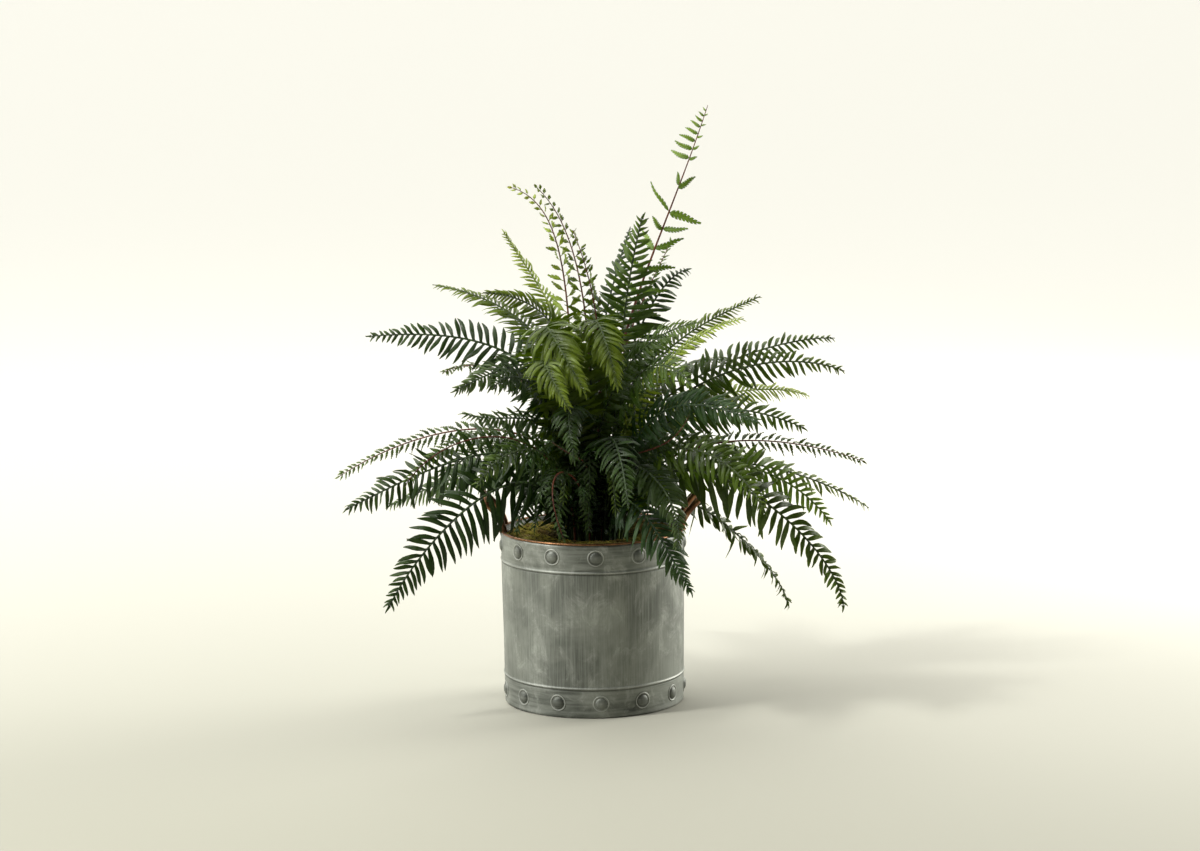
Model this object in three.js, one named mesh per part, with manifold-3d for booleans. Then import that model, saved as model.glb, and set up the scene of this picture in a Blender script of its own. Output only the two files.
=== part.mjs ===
// A river fern in a round zinc pot with a copper rim and two copper handles.
// Millimetres, +Z up. The origin is the middle of the pot's base; +X is to the right
// and -Y is towards someone who looks at the front of the pot.

import * as THREE from "three";
import { mergeVertices } from "three/addons/utils/BufferGeometryUtils.js";
import Module from "manifold-3d";

const wasm = await Module();
wasm.setup();

// Pot
const POT = {
  height: 228,
  topRadius: 120,
  baseRadius: 117.4,
  wall: 1.4,
  sides: 36,
  bandHeight: 38.5,
  beadRise: 1.4,
  beadHalf: 1.8,
};
const RIM = { radius: 1.7, flat: 0.8, sides: 5 };
const RIVET = { count: 13, radius: 7.5, crown: 3.8, rise: 3, sunk: 1.2, sides: 6, inFromEdge: 19 };
const RIVET_TURN = { top: 271.9, base: 274.3 };

// Handles
const HANDLE = { tube: 4, sides: 7, steps: 14 };
const HANDLE_LEG = { reach: 115.5, spread: 29, lean: 1.5, upright: 9 };
const HANDLE_KNEE = { reach: 124, spread: 30, height: 251 };
const HANDLE_SHOULDER = { inside: 5, below: 6 };
const HANDLE_BAR = { reach: 141, spread: 30.5, height: 271, corner: 9 };

// Gap between parts that touch
const GAP = 0.3;

// Filling
const SOIL = { top: 212 };
const MOSS = { inner: 70, outer: 116.5, top: 221, sides: 30 };
const MOSS_EDGE = { outerDrop: 4, outerRun: 12, innerDrop: 2, innerRun: 8, innerLip: 3, middleDrop: 1 };
const MOSS_LUMPS = { height: 1.1, turns: 7, waves: 9, otherTurns: 11, otherWaves: 7 };
const ROOT = { height: 190, pull: 0.42, reach: 38, apart: 7.6, turns: 200 };

// Fronds
const STEM = { root: 1.3, blade: 0.8, tip: 0.5, half: 0.6, steps: 3, hole: 36, end: 0.03, turnFrom: 0.05 };
const PAIR_CROWD = 0.12;
const LACE_OUTLINE = { foot: 1.06, fall: 0.96, curve: 0.85 };
const SWORD_OUTLINE = { foot: 0.62, widest: 0.28, fall: 0.93, curve: 1.9, round: 0.9 };
const LEAF_TIP_HALF = 0.32;
const LEAF_SHARED = 0.25;
const LEAF_OVER_RIM = 4;
const HOLE_PLAY = 0.5;
const CLEARANCE = 0.45;
const POT_ROOM = { wall: 1, handle: 2, insideLeg: 14, underRim: 10 };
const LIFTS = [0, 12, -12, 24, -24, 36, -36, 50, -50];
const TRIMS = [1, 0.75, 0.5];
const SWEEP = { foot: 74, tip: 42 };
const SAG = 0.1;

// Colours
const ZINC = { color: 0x9c9f97, roughness: 0.5, metalness: 0.75 };
const COPPER = { color: 0x8a5236, roughness: 0.35, metalness: 0.9 };
const EARTH = { color: 0x2e2418, roughness: 0.95, metalness: 0 };
const GREEN_MOSS = { color: 0x6f6a22, roughness: 0.95, metalness: 0 };
const LEAF_COLOURS = {
  deep: 0x24382a, green: 0x35502f, olive: 0x64802c, lime: 0x8fa044, blue: 0x3f6152, grey: 0x55705a,
};

// Each frond: its kind, its colour, the turn of its blade about its stem in degrees, its
// longest leaflet, its pairs of leaflets, how much of the stem is bare, and three points that
// it passes through at a third and two thirds of the way and at its tip. A sword frond is
// widest near a quarter of its blade, and a lace frond at the foot.
const FRONDS = {
  left_high: ["sword", "deep", -68, 46, 18, 0.32, [-40, 20, 380], [-135, 40, 465], [-295, 60, 475]],
  left_low: ["sword", "deep", -62, 56, 18, 0.24, [-90, -70, 300], [-190, -110, 245], [-260, -140, 150]],
  left_mid: ["sword", "deep", -64, 54, 18, 0.24, [-79, -42, 328], [-203, -60, 318], [-317, -76, 268]],
  left_under: ["sword", "grey", -60, 44, 13, 0.24, [-75, 70, 291], [-176, 105, 281], [-277, 125, 236]],
  left_lace: ["lace", "green", -55, 44, 14, 0.28, [-60, 48, 325], [-186, 50, 349], [-337, 46, 289]],
  left_grey: ["sword", "grey", -55, 46, 14, 0.32, [-25, -30, 400], [-85, -90, 455], [-170, -190, 435]],
  left_small: ["lace", "deep", -50, 36, 11, 0.28, [-40, -55, 350], [-95, -115, 390], [-160, -165, 405]],
  left_top: ["sword", "olive", -20, 38, 13, 0.32, [-27, 34, 376], [-85, 85, 485], [-210, 135, 535]],
  left_lime: ["sword", "lime", -10, 26, 11, 0.32, [-10, 48, 390], [-50, 95, 505], [-115, 110, 610]],
  left_olive: ["sword", "olive", -60, 42, 15, 0.32, [-15, -5, 385], [-50, -25, 500], [-135, -70, 545]],
  arch_big: ["sword", "olive", 20, 48, 17, 0.32, [-35, -50, 405], [-55, -110, 505], [-5, -195, 430]],
  arch_right: ["sword", "olive", 12, 46, 14, 0.32, [0, -20, 390], [5, -70, 505], [35, -160, 430]],
  arch_light: ["sword", "olive", 10, 40, 12, 0.32, [-25, -70, 375], [-55, -145, 465], [-25, -225, 415]],
  centre_blue: ["sword", "deep", 0, 40, 12, 0.28, [-10, -50, 350], [-25, -125, 405], [-20, -200, 345]],
  tall_dark: ["sword", "deep", 112, 56, 18, 0.36, [30, -5, 365], [45, -15, 510], [70, -40, 640]],
  tall_lace: ["lace", "green", 80, 34, 15, 0.55, [30, 15, 415], [85, 15, 590], [155, 10, 775]],
  top_lace_left: ["lace", "green", -50, 26, 13, 0.44, [-24, 38, 430], [-42, 55, 595], [-105, 60, 670]],
  top_lace_mid: ["lace", "green", -60, 24, 12, 0.44, [0, 20, 425], [-20, 25, 583], [-70, 15, 675]],
  top_lace_right: ["lace", "deep", -110, 26, 12, 0.44, [10, 5, 360], [10, -10, 490], [-20, -35, 620]],
  right_top_dark: ["sword", "deep", 40, 50, 15, 0.32, [30, 45, 375], [80, 95, 505], [135, 150, 550]],
  right_top_olive: ["sword", "olive", 40, 40, 12, 0.32, [45, 25, 380], [130, 55, 475], [225, 80, 520]],
  right_lime: ["sword", "lime", 50, 36, 11, 0.28, [45, -20, 360], [115, -50, 465], [195, -90, 510]],
  right_arch: ["sword", "olive", 70, 40, 13, 0.32, [15, -35, 375], [70, -90, 475], [135, -170, 515]],
  right_high: ["sword", "green", 50, 42, 15, 0.28, [62, 74, 351], [202, 114, 436], [328, 140, 456]],
  right_upper: ["sword", "green", 62, 42, 17, 0.28, [70, 50, 348], [197, 52, 428], [334, 50, 423]],
  right_back_lime: ["sword", "lime", 45, 38, 11, 0.24, [57, 82, 327], [180, 120, 385], [295, 160, 375]],
  right_blue: ["sword", "blue", 60, 48, 13, 0.32, [65, -65, 365], [140, -125, 405], [210, -180, 390]],
  right_dark: ["sword", "deep", 55, 46, 16, 0.28, [65, -30, 340], [160, -55, 390], [275, -75, 365]],
  right_lace: ["lace", "green", 50, 38, 14, 0.24, [90, 58, 300], [217, 64, 330], [363, 66, 299]],
  right_edge: ["sword", "olive", 38, 38, 16, 0.24, [98, 84, 286], [237, 115, 286], [373, 130, 226]],
  right_face: ["sword", "olive", 70, 44, 15, 0.24, [79, -48, 301], [198, -60, 316], [307, -70, 241]],
  right_low: ["sword", "deep", 62, 46, 18, 0.24, [119, -76, 314], [253, -106, 249], [318, -126, 139]],
  right_low_back: ["sword", "olive", 45, 30, 15, 0.24, [98, 80, 256], [205, 110, 185], [265, 130, 90]],
  front_droop: ["sword", "blue", 38, 30, 14, 0.24, [45, -75, 275], [90, -130, 230], [125, -155, 170]],
  front_right: ["sword", "deep", 25, 30, 12, 0.24, [40, -60, 315], [90, -130, 300], [105, -190, 235]],
  front_lace: ["lace", "deep", -20, 26, 10, 0.24, [-16, -76, 296], [-45, -150, 320], [-35, -205, 250]],
  right_red_lace: ["lace", "deep", 70, 30, 10, 0.24, [30, -40, 310], [78, -92, 345], [125, -125, 395]],
  front_small_lace: ["lace", "deep", -60, 26, 9, 0.24, [-2, -56, 300], [-15, -100, 335], [-50, -150, 365]],
  back_low: ["sword", "deep", 0, 48, 11, 0.24, [5, 100, 300], [10, 215, 300], [12, 310, 190]],
  back_mid: ["sword", "blue", 15, 48, 11, 0.28, [0, 70, 340], [-5, 185, 400], [-15, 320, 350]],
  back_high: ["sword", "olive", -20, 46, 11, 0.32, [10, 45, 380], [30, 110, 480], [50, 205, 510]],
  back_left_low: ["sword", "green", 30, 48, 11, 0.24, [-58, 98, 302], [-150, 180, 305], [-215, 260, 215]],
  back_left_mid: ["lace", "green", 20, 42, 12, 0.28, [-40, 76, 347], [-118, 152, 415], [-205, 255, 400]],
  back_left_high: ["sword", "deep", 25, 46, 11, 0.32, [-25, 50, 370], [-75, 125, 465], [-130, 215, 495]],
  back_right_low: ["sword", "olive", -30, 48, 11, 0.24, [75, 80, 305], [165, 170, 305], [240, 250, 210]],
  back_right_mid: ["sword", "green", -20, 46, 11, 0.28, [46, 76, 350], [128, 152, 420], [215, 260, 400]],
  back_right_high: ["lace", "green", -15, 40, 12, 0.32, [30, 40, 400], [75, 95, 525], [110, 160, 590]],
  back_steep: ["sword", "deep", -10, 46, 11, 0.32, [5, 34, 400], [30, 75, 535], [55, 125, 610]],
  front_left: ["sword", "green", -50, 40, 11, 0.24, [-40, -75, 320], [-95, -165, 355], [-140, -250, 325]],
  front_mid: ["sword", "deep", 10, 42, 11, 0.28, [14, -70, 335], [30, -170, 365], [45, -265, 300]],
  front_left_high: ["sword", "deep", -60, 46, 11, 0.32, [-42, -36, 365], [-85, -115, 440], [-120, -215, 440]],
  front_right_high: ["sword", "green", 60, 44, 11, 0.32, [35, -40, 380], [80, -120, 455], [125, -215, 440]],
  right_front: ["sword", "deep", 55, 44, 11, 0.24, [65, -60, 320], [145, -135, 345], [215, -205, 280]],
  left_front: ["lace", "green", -60, 36, 12, 0.28, [-56, -66, 330], [-148, -120, 365], [-233, -178, 315]],
};

const UP = new THREE.Vector3(0, 0, 1);
const degrees = THREE.MathUtils.degToRad;

// Radius of the pot's outside at a height
function potRadius(z) {
  return THREE.MathUtils.lerp(POT.baseRadius, POT.topRadius, z / POT.height);
}

// A closed mesh as a solid that can be joined and cut
function solidOf(geometry) {
  const bare = geometry.clone();
  bare.deleteAttribute("normal");
  bare.deleteAttribute("uv");
  const merged = mergeVertices(bare, 1e-4);
  const vertProperties = new Float32Array(merged.attributes.position.array);
  const triVerts = new Uint32Array(merged.index.array);
  return new wasm.Manifold(new wasm.Mesh({ numProp: 3, vertProperties, triVerts }));
}

function geometryOf(solid) {
  const mesh = solid.getMesh();
  const geometry = new THREE.BufferGeometry();
  geometry.setAttribute("position", new THREE.BufferAttribute(new Float32Array(mesh.vertProperties), 3));
  geometry.setIndex(new THREE.BufferAttribute(new Uint32Array(mesh.triVerts), 1));
  geometry.computeVertexNormals();
  return geometry;
}

// A profile of [radius, height] pairs, turned about the Z axis
function turned(profile, sides) {
  const points = profile.map(([r, z]) => new THREE.Vector2(r, z));
  return new THREE.LatheGeometry(points, sides).rotateX(Math.PI / 2);
}

// The thin-walled pot, with a bead above and below its bands and two rings of rivets
function makePot() {
  const beads = [POT.bandHeight, POT.height - POT.bandHeight];
  const edge = POT.height - 2 * RIM.radius * RIM.flat - GAP;
  const outside = beads.flatMap((z) => [
    [potRadius(z - POT.beadHalf), z - POT.beadHalf],
    [potRadius(z) + POT.beadRise, z],
    [potRadius(z + POT.beadHalf), z + POT.beadHalf],
  ]);
  const profile = [
    [0, 0],
    [POT.baseRadius - POT.wall, 0],
    [POT.baseRadius, POT.wall],
    ...outside,
    [potRadius(edge), edge],
    [potRadius(edge) - POT.wall, edge],
    [potRadius(POT.wall) - POT.wall, POT.wall],
    [0, POT.wall],
  ];
  let pot = solidOf(turned(profile, POT.sides));
  const rings = [
    [POT.height - RIVET.inFromEdge, RIVET_TURN.top],
    [RIVET.inFromEdge, RIVET_TURN.base],
  ];
  for (const [z, turn] of rings) {
    for (let k = 0; k < RIVET.count; k += 1) {
      pot = pot.add(solidOf(rivetAt(z, degrees(turn + (360 * k) / RIVET.count))));
    }
  }
  return geometryOf(pot);
}

// One rivet head: a low cone with a flat crown, its root sunk in the wall
function rivetAt(z, angle) {
  const length = RIVET.rise + RIVET.sunk;
  const head = new THREE.CylinderGeometry(RIVET.crown, RIVET.radius, length, RIVET.sides);
  head.rotateZ(-Math.PI / 2);
  head.translate(potRadius(z) - RIVET.sunk + length / 2, 0, z);
  return head.rotateZ(angle);
}

// The copper bead that caps the pot's edge
function makeRim() {
  const profile = [];
  for (let k = 0; k <= RIM.sides; k += 1) {
    const angle = (2 * Math.PI * k) / RIM.sides;
    const radius = POT.topRadius - POT.wall / 2 + RIM.radius * Math.cos(angle);
    profile.push([radius, POT.height - RIM.radius * RIM.flat * (1 - Math.sin(angle))]);
  }
  return turned(profile, POT.sides);
}

// A copper tube from the rim up, outward, along and back down to the rim
function makeHandle() {
  const foot = POT.height + GAP;
  const leg = (side) => [
    new THREE.Vector3(HANDLE_LEG.reach, side * HANDLE_LEG.spread, foot),
    new THREE.Vector3(
      HANDLE_LEG.reach + HANDLE_LEG.lean,
      side * HANDLE_LEG.spread,
      foot + HANDLE_LEG.upright,
    ),
    new THREE.Vector3(HANDLE_KNEE.reach, side * HANDLE_KNEE.spread, HANDLE_KNEE.height),
    new THREE.Vector3(
      HANDLE_BAR.reach - HANDLE_SHOULDER.inside,
      side * HANDLE_BAR.spread,
      HANDLE_BAR.height - HANDLE_SHOULDER.below,
    ),
    new THREE.Vector3(HANDLE_BAR.reach, side * (HANDLE_BAR.spread - HANDLE_BAR.corner), HANDLE_BAR.height),
  ];
  const route = new THREE.CatmullRomCurve3([...leg(-1), ...leg(1).reverse()], false, "centripetal");
  const section = new THREE.Shape();
  for (let k = 0; k < HANDLE.sides; k += 1) {
    const angle = (2 * Math.PI * k) / HANDLE.sides;
    const x = HANDLE.tube * Math.cos(angle);
    const y = HANDLE.tube * Math.sin(angle);
    if (k === 0) section.moveTo(x, y);
    else section.lineTo(x, y);
  }
  return new THREE.ExtrudeGeometry(section, { steps: HANDLE.steps, extrudePath: route });
}

// The soil that fills the pot, with a plain hole for each stem
function makeSoil(fronds) {
  const lowest = POT.wall + GAP;
  const profile = [
    [0, lowest],
    [potRadius(lowest) - POT.wall - GAP, lowest],
    [potRadius(SOIL.top) - POT.wall - GAP, SOIL.top],
    [0, SOIL.top],
  ];
  let soil = solidOf(turned(profile, POT.sides));
  for (const frond of fronds) soil = soil.subtract(solidOf(frond.stemHole()));
  return geometryOf(soil);
}

// A lumpy ring of moss between the stems and the pot's wall
function makeMoss() {
  const low = SOIL.top + GAP;
  const middle = (MOSS.inner + MOSS.outer) / 2;
  const profile = [
    [MOSS.inner, low],
    [MOSS.outer, low],
    [MOSS.outer, MOSS.top - MOSS_EDGE.outerDrop],
    [MOSS.outer - MOSS_EDGE.outerRun, MOSS.top],
    [middle, MOSS.top - MOSS_EDGE.middleDrop],
    [MOSS.inner + MOSS_EDGE.innerRun, MOSS.top - MOSS_EDGE.innerDrop],
    [MOSS.inner, low + MOSS_EDGE.innerLip],
    [MOSS.inner, low],
  ];
  const moss = turned(profile, MOSS.sides);
  const place = moss.attributes.position;
  for (let k = 0; k < place.count; k += 1) {
    const angle = Math.atan2(place.getY(k), place.getX(k));
    const radius = Math.hypot(place.getX(k), place.getY(k));
    const above = place.getZ(k) - low;
    const { height, turns, waves, otherTurns, otherWaves } = MOSS_LUMPS;
    const lump = Math.sin(turns * angle + radius / waves);
    const other = Math.cos(otherTurns * angle - radius / otherWaves);
    if (above > 1) place.setZ(k, place.getZ(k) + height * (lump + other));
  }
  return moss;
}

// A smooth route through four points, at its start, a third, two thirds and its end
class FrondRoute extends THREE.Curve {
  constructor(points) {
    super();
    this.points = points;
    this.arcLengthDivisions = 400;
  }

  getPoint(t, target = new THREE.Vector3()) {
    const weights = [
      ((1 - 3 * t) * (2 - 3 * t) * (1 - t)) / 2,
      (9 * t * (2 - 3 * t) * (1 - t)) / 2,
      (-9 * t * (1 - 3 * t) * (1 - t)) / 2,
      (t * (1 - 3 * t) * (2 - 3 * t)) / 2,
    ];
    target.set(0, 0, 0);
    this.points.forEach((point, k) => target.addScaledVector(point, weights[k]));
    return target;
  }
}

// Roots start under the first third of their fronds and are pushed apart until none is close
function placeRoots(rows) {
  const roots = rows.map((row) => {
    const [x, y] = row[6];
    const away = Math.hypot(x, y);
    return new THREE.Vector3(x, y, 0).multiplyScalar(Math.min(ROOT.pull * away, ROOT.reach) / away);
  });
  for (let turn = 0; turn < ROOT.turns; turn += 1) {
    roots.forEach((root, i) => {
      for (let j = 0; j < i; j += 1) {
        const between = root.clone().sub(roots[j]);
        const distance = between.length();
        if (distance >= ROOT.apart) continue;
        between.multiplyScalar((0.5 * (ROOT.apart - distance)) / distance);
        root.add(between);
        roots[j].sub(between);
      }
    });
  }
  roots.forEach((root) => root.setZ(ROOT.height));
  return roots;
}

// Vertices and faces of one closed body
class Shell {
  constructor() {
    this.points = [];
    this.faces = [];
  }

  point(place) {
    this.points.push(place.x, place.y, place.z);
    return this.points.length / 3 - 1;
  }

  quad(a, b, c, d) {
    this.faces.push(a, b, c, a, c, d);
  }

  geometry() {
    const geometry = new THREE.BufferGeometry();
    geometry.setAttribute("position", new THREE.Float32BufferAttribute(this.points, 3));
    geometry.setIndex(this.faces);
    geometry.computeVertexNormals();
    return geometry;
  }
}

// Everything that a leaflet has to stay clear of, as thin triangles with half a thickness
class Obstacles {
  constructor() {
    this.items = [];
    this.boxes = [];
  }

  add(triangle, half, owner, order = 0, side = 0) {
    this.items.push({ triangle, half, owner, order, side, ...roundTriangle(triangle) });
  }

  // A leaflet of the same frond only has to miss the outer parts of its own neighbours
  isClear(triangle, half, owner, order, side) {
    if (this.boxes.some((box) => box.intersectsTriangle(triangle))) return false;
    const { middle, radius } = roundTriangle(triangle);
    return this.items.every((item) => {
      const own = item.owner === owner;
      if (own && (item.order === 0 || item.side !== side)) return true;
      const needed = item.half + half + CLEARANCE;
      if (item.middle.distanceTo(middle) > item.radius + radius + needed) return true;
      if (!own) return triangleGap(triangle, item.triangle) > needed;
      return triangleGap(outerPart(triangle), outerPart(item.triangle)) > needed / 2;
    });
  }
}

// The middle of a triangle, and the radius of a ball round it that holds the triangle
function roundTriangle(triangle) {
  const middle = triangle.getMidpoint(new THREE.Vector3());
  const corners = [triangle.a, triangle.b, triangle.c];
  return { middle, radius: Math.max(...corners.map((corner) => corner.distanceTo(middle))) };
}

// A leaflet's triangle without the part that it shares with its neighbour
function outerPart(triangle) {
  const shrink = (corner) => corner.clone().lerp(triangle.c, LEAF_SHARED);
  return new THREE.Triangle(shrink(triangle.a), shrink(triangle.b), triangle.c);
}

// The shortest way between two triangles, or 0 where they cross
function triangleGap(first, second) {
  let gap = Infinity;
  const ray = new THREE.Ray();
  const hit = new THREE.Vector3();
  const pairs = [[first, second], [second, first]];
  for (const [one, other] of pairs) {
    for (const edge of edgesOf(one)) {
      ray.origin.copy(edge.start);
      edge.delta(ray.direction).normalize();
      const crossing = ray.intersectTriangle(other.a, other.b, other.c, false, hit);
      if (crossing && hit.distanceTo(edge.start) <= edge.distance()) return 0;
      other.closestPointToPoint(edge.start, hit);
      gap = Math.min(gap, hit.distanceTo(edge.start));
    }
  }
  for (const edge of edgesOf(first)) {
    for (const other of edgesOf(second)) gap = Math.min(gap, Math.sqrt(edge.distanceSqToLine3(other)));
  }
  return gap;
}

function edgesOf(triangle) {
  const { a, b, c } = triangle;
  return [new THREE.Line3(a, b), new THREE.Line3(b, c), new THREE.Line3(c, a)];
}

// One frond: a thin stem with a row of leaflets on each side of its outer part
class Frond {
  constructor(name, row, root) {
    const [kind, tint, turn, longest, pairs, bare, ...through] = row;
    Object.assign(this, { name, kind, tint, longest, pairs, bare });
    this.route = new FrondRoute([root, ...through.map((point) => new THREE.Vector3(...point))]);
    this.frames = this.stations().map((share) => this.frameAt(share, degrees(turn)));
    this.leaflets = [];
  }

  // Shares of the length where the stem is divided: above its hole, along the bare stem, and
  // then once for each pair of leaflets
  stations() {
    const hole = STEM.hole / this.route.getLength();
    const shares = [0];
    for (let k = 0; k + 1 < STEM.steps; k += 1) {
      shares.push(THREE.MathUtils.lerp(hole, this.bare, k / (STEM.steps - 1)));
    }
    const blade = 1 - this.bare - STEM.end;
    for (let k = 0; k <= this.pairs; k += 1) {
      const even = k / this.pairs;
      shares.push(this.bare + blade * even * (1 + PAIR_CROWD * (1 - even)));
    }
    return shares;
  }

  // Place, forward, left and up at a share of the length; up is the side that faces the crown
  frameAt(share, turn) {
    const place = this.route.getPointAt(share);
    const forward = this.route.getTangentAt(share);
    const outward = this.route.points[3].clone().sub(this.route.points[0]);
    const level = UP.clone().cross(outward.setZ(0)).normalize();
    const left = level.addScaledVector(forward, -level.dot(forward)).normalize();
    const up = forward.clone().cross(left);
    const twist = turn * THREE.MathUtils.smoothstep(share, STEM.turnFrom, this.bare);
    left.applyAxisAngle(forward, twist);
    up.applyAxisAngle(forward, twist);
    return { share, place, forward, left, up };
  }

  // Half the stem's width, thick at the root and fine at the tip
  halfWidth(share) {
    if (share <= this.bare) return THREE.MathUtils.lerp(STEM.root, STEM.blade, share / this.bare);
    return THREE.MathUtils.lerp(STEM.blade, STEM.tip, (share - this.bare) / (1 - this.bare));
  }

  halfHeight(share) {
    return THREE.MathUtils.lerp(STEM.root, STEM.half, Math.min(share / this.bare, 1));
  }

  // Four corners of the stem at a station: left and right on top, right and left below
  corners(shell, frame, play = 0) {
    const wide = this.halfWidth(frame.share) + play;
    const high = this.halfHeight(frame.share) + play;
    return [[1, 1], [-1, 1], [-1, -1], [1, -1]].map(([across, up]) => {
      const corner = frame.place.clone().addScaledVector(frame.left, across * wide);
      return shell.point(corner.addScaledVector(frame.up, up * high));
    });
  }

  // The plain hole that the stem stands in
  stemHole() {
    const shell = new Shell();
    const start = { ...this.frames[0] };
    start.place = start.place.clone().addScaledVector(start.forward, -HOLE_PLAY);
    const ends = [start, this.frames[1]].map((frame) => this.corners(shell, frame, HOLE_PLAY));
    this.coverSides(shell, ends[0], ends[1]);
    this.closeStart(shell, ends[0]);
    shell.quad(ends[1][0], ends[1][1], ends[1][2], ends[1][3]);
    return shell.geometry();
  }

  coverSides(shell, near, far, left = true, right = true) {
    shell.quad(near[1], far[1], far[0], near[0]);
    shell.quad(near[3], far[3], far[2], near[2]);
    if (left) shell.quad(near[0], far[0], far[3], near[3]);
    if (right) shell.quad(far[1], near[1], near[2], far[2]);
  }

  closeStart(shell, ring) {
    shell.quad(ring[0], ring[3], ring[2], ring[1]);
  }

  // The stem as thin strips that other fronds' leaflets keep clear of
  blockStem(obstacles) {
    for (let k = 0; k + 1 < this.frames.length; k += 1) {
      const [near, far] = [this.frames[k], this.frames[k + 1]];
      const half = this.halfHeight(near.share);
      const wide = this.halfWidth(near.share);
      const edge = (frame, side) => frame.place.clone().addScaledVector(frame.left, side * wide);
      const [a, b, c, d] = [edge(near, 1), edge(near, -1), edge(far, -1), edge(far, 1)];
      obstacles.add(new THREE.Triangle(a, b, c), half, this.name);
      obstacles.add(new THREE.Triangle(a, c, d), half, this.name);
    }
  }

  // A leaflet's length by its place along the blade, from 0 at the foot to 1 at the tip
  leafletLength(even) {
    if (this.kind === "lace") {
      const { foot, fall, curve } = LACE_OUTLINE;
      return this.longest * (foot - fall * Math.pow(even, curve));
    }
    const { foot, widest, fall, curve, round } = SWORD_OUTLINE;
    const swell = THREE.MathUtils.lerp(foot, 1, THREE.MathUtils.smoothstep(even, 0, widest));
    return this.longest * swell * Math.pow(1 - fall * Math.pow(even, curve), round);
  }

  // One leaflet on the frond's own surface, lifted or dropped by an angle
  leafletAt(k, side, lift, trim) {
    const near = this.frames[STEM.steps + k];
    const far = this.frames[STEM.steps + k + 1];
    const even = (k + 0.5) / this.pairs;
    const length = this.leafletLength(even) * trim;
    const sweep = degrees(THREE.MathUtils.lerp(SWEEP.foot, SWEEP.tip, even));
    const flat = near.forward.clone().multiplyScalar(Math.cos(sweep));
    flat.addScaledVector(near.left, side * Math.sin(sweep));
    const out = flat.clone().multiplyScalar(Math.cos(lift)).addScaledVector(near.up, Math.sin(lift));
    const face = near.up.clone().multiplyScalar(Math.cos(lift)).addScaledVector(flat, -Math.sin(lift));
    const base = [this.rootCorner(near, side), this.rootCorner(far, side)];
    const tip = base[0].clone().lerp(base[1], 0.5).addScaledVector(out, length);
    tip.z -= SAG * length;
    return { triangle: new THREE.Triangle(...base, tip), face, side, order: k + 1 };
  }

  rootCorner(frame, side) {
    return frame.place.clone().addScaledVector(frame.left, side * this.halfWidth(frame.share));
  }

  // Tries each length and lift in turn until the leaflet is clear of all else
  fitLeaflets(obstacles) {
    for (let k = 0; k < this.pairs; k += 1) {
      for (const side of [1, -1]) {
        const leaflet = this.firstClear(k, side, obstacles);
        if (!leaflet) continue;
        this.leaflets.push(leaflet);
        obstacles.add(leaflet.triangle, STEM.half, this.name, leaflet.order, side);
      }
    }
  }

  firstClear(k, side, obstacles) {
    for (const trim of TRIMS) {
      for (const lift of LIFTS) {
        const leaflet = this.leafletAt(k, side, degrees(lift), trim);
        if (!overMoss(leaflet.triangle)) continue;
        if (obstacles.isClear(leaflet.triangle, STEM.half, this.name, leaflet.order, side)) return leaflet;
      }
    }
    return null;
  }

  geometry() {
    const shell = new Shell();
    const rings = this.frames.map((frame) => this.corners(shell, frame));
    this.closeStart(shell, rings[0]);
    for (let k = 0; k + 1 < rings.length; k += 1) {
      const order = k - STEM.steps + 1;
      const has = (side) => this.leaflets.find((leaf) => leaf.order === order && leaf.side === side);
      const [left, right] = [has(1), has(-1)];
      this.coverSides(shell, rings[k], rings[k + 1], !left, !right);
      if (left) addLeaflet(shell, left, rings[k][0], rings[k][3], rings[k + 1][0], rings[k + 1][3]);
      if (right) addLeaflet(shell, right, rings[k][1], rings[k][2], rings[k + 1][1], rings[k + 1][2]);
    }
    const last = rings[rings.length - 1];
    const tip = shell.point(this.route.getPoint(1));
    for (let k = 0; k < 4; k += 1) shell.faces.push(last[k], last[(k + 1) % 4], tip);
    return shell.geometry();
  }
}

// Adds a leaflet's two faces and its two edges, so that it and the stem stay one closed body
function addLeaflet(shell, leaflet, topNear, lowNear, topFar, lowFar) {
  const [topTip, lowTip] = [1, -1].map((way) => {
    return shell.point(leaflet.triangle.c.clone().addScaledVector(leaflet.face, way * LEAF_TIP_HALF));
  });
  if (leaflet.side > 0) {
    shell.faces.push(topNear, topFar, topTip, lowNear, lowTip, lowFar);
    shell.quad(topNear, topTip, lowTip, lowNear);
    shell.quad(topTip, topFar, lowFar, lowTip);
  } else {
    shell.faces.push(topNear, topTip, topFar, lowNear, lowFar, lowTip);
    shell.quad(topTip, topNear, lowNear, lowTip);
    shell.quad(topFar, topTip, lowTip, lowFar);
  }
}

// True where a leaflet stays above the moss and the rim, or outside the pot
function overMoss(triangle) {
  return [triangle.a, triangle.b, triangle.c].every((point) => {
    const inside = Math.hypot(point.x, point.y) < POT.topRadius + LEAF_OVER_RIM;
    return !inside || point.z > POT.height + LEAF_OVER_RIM;
  });
}

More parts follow.
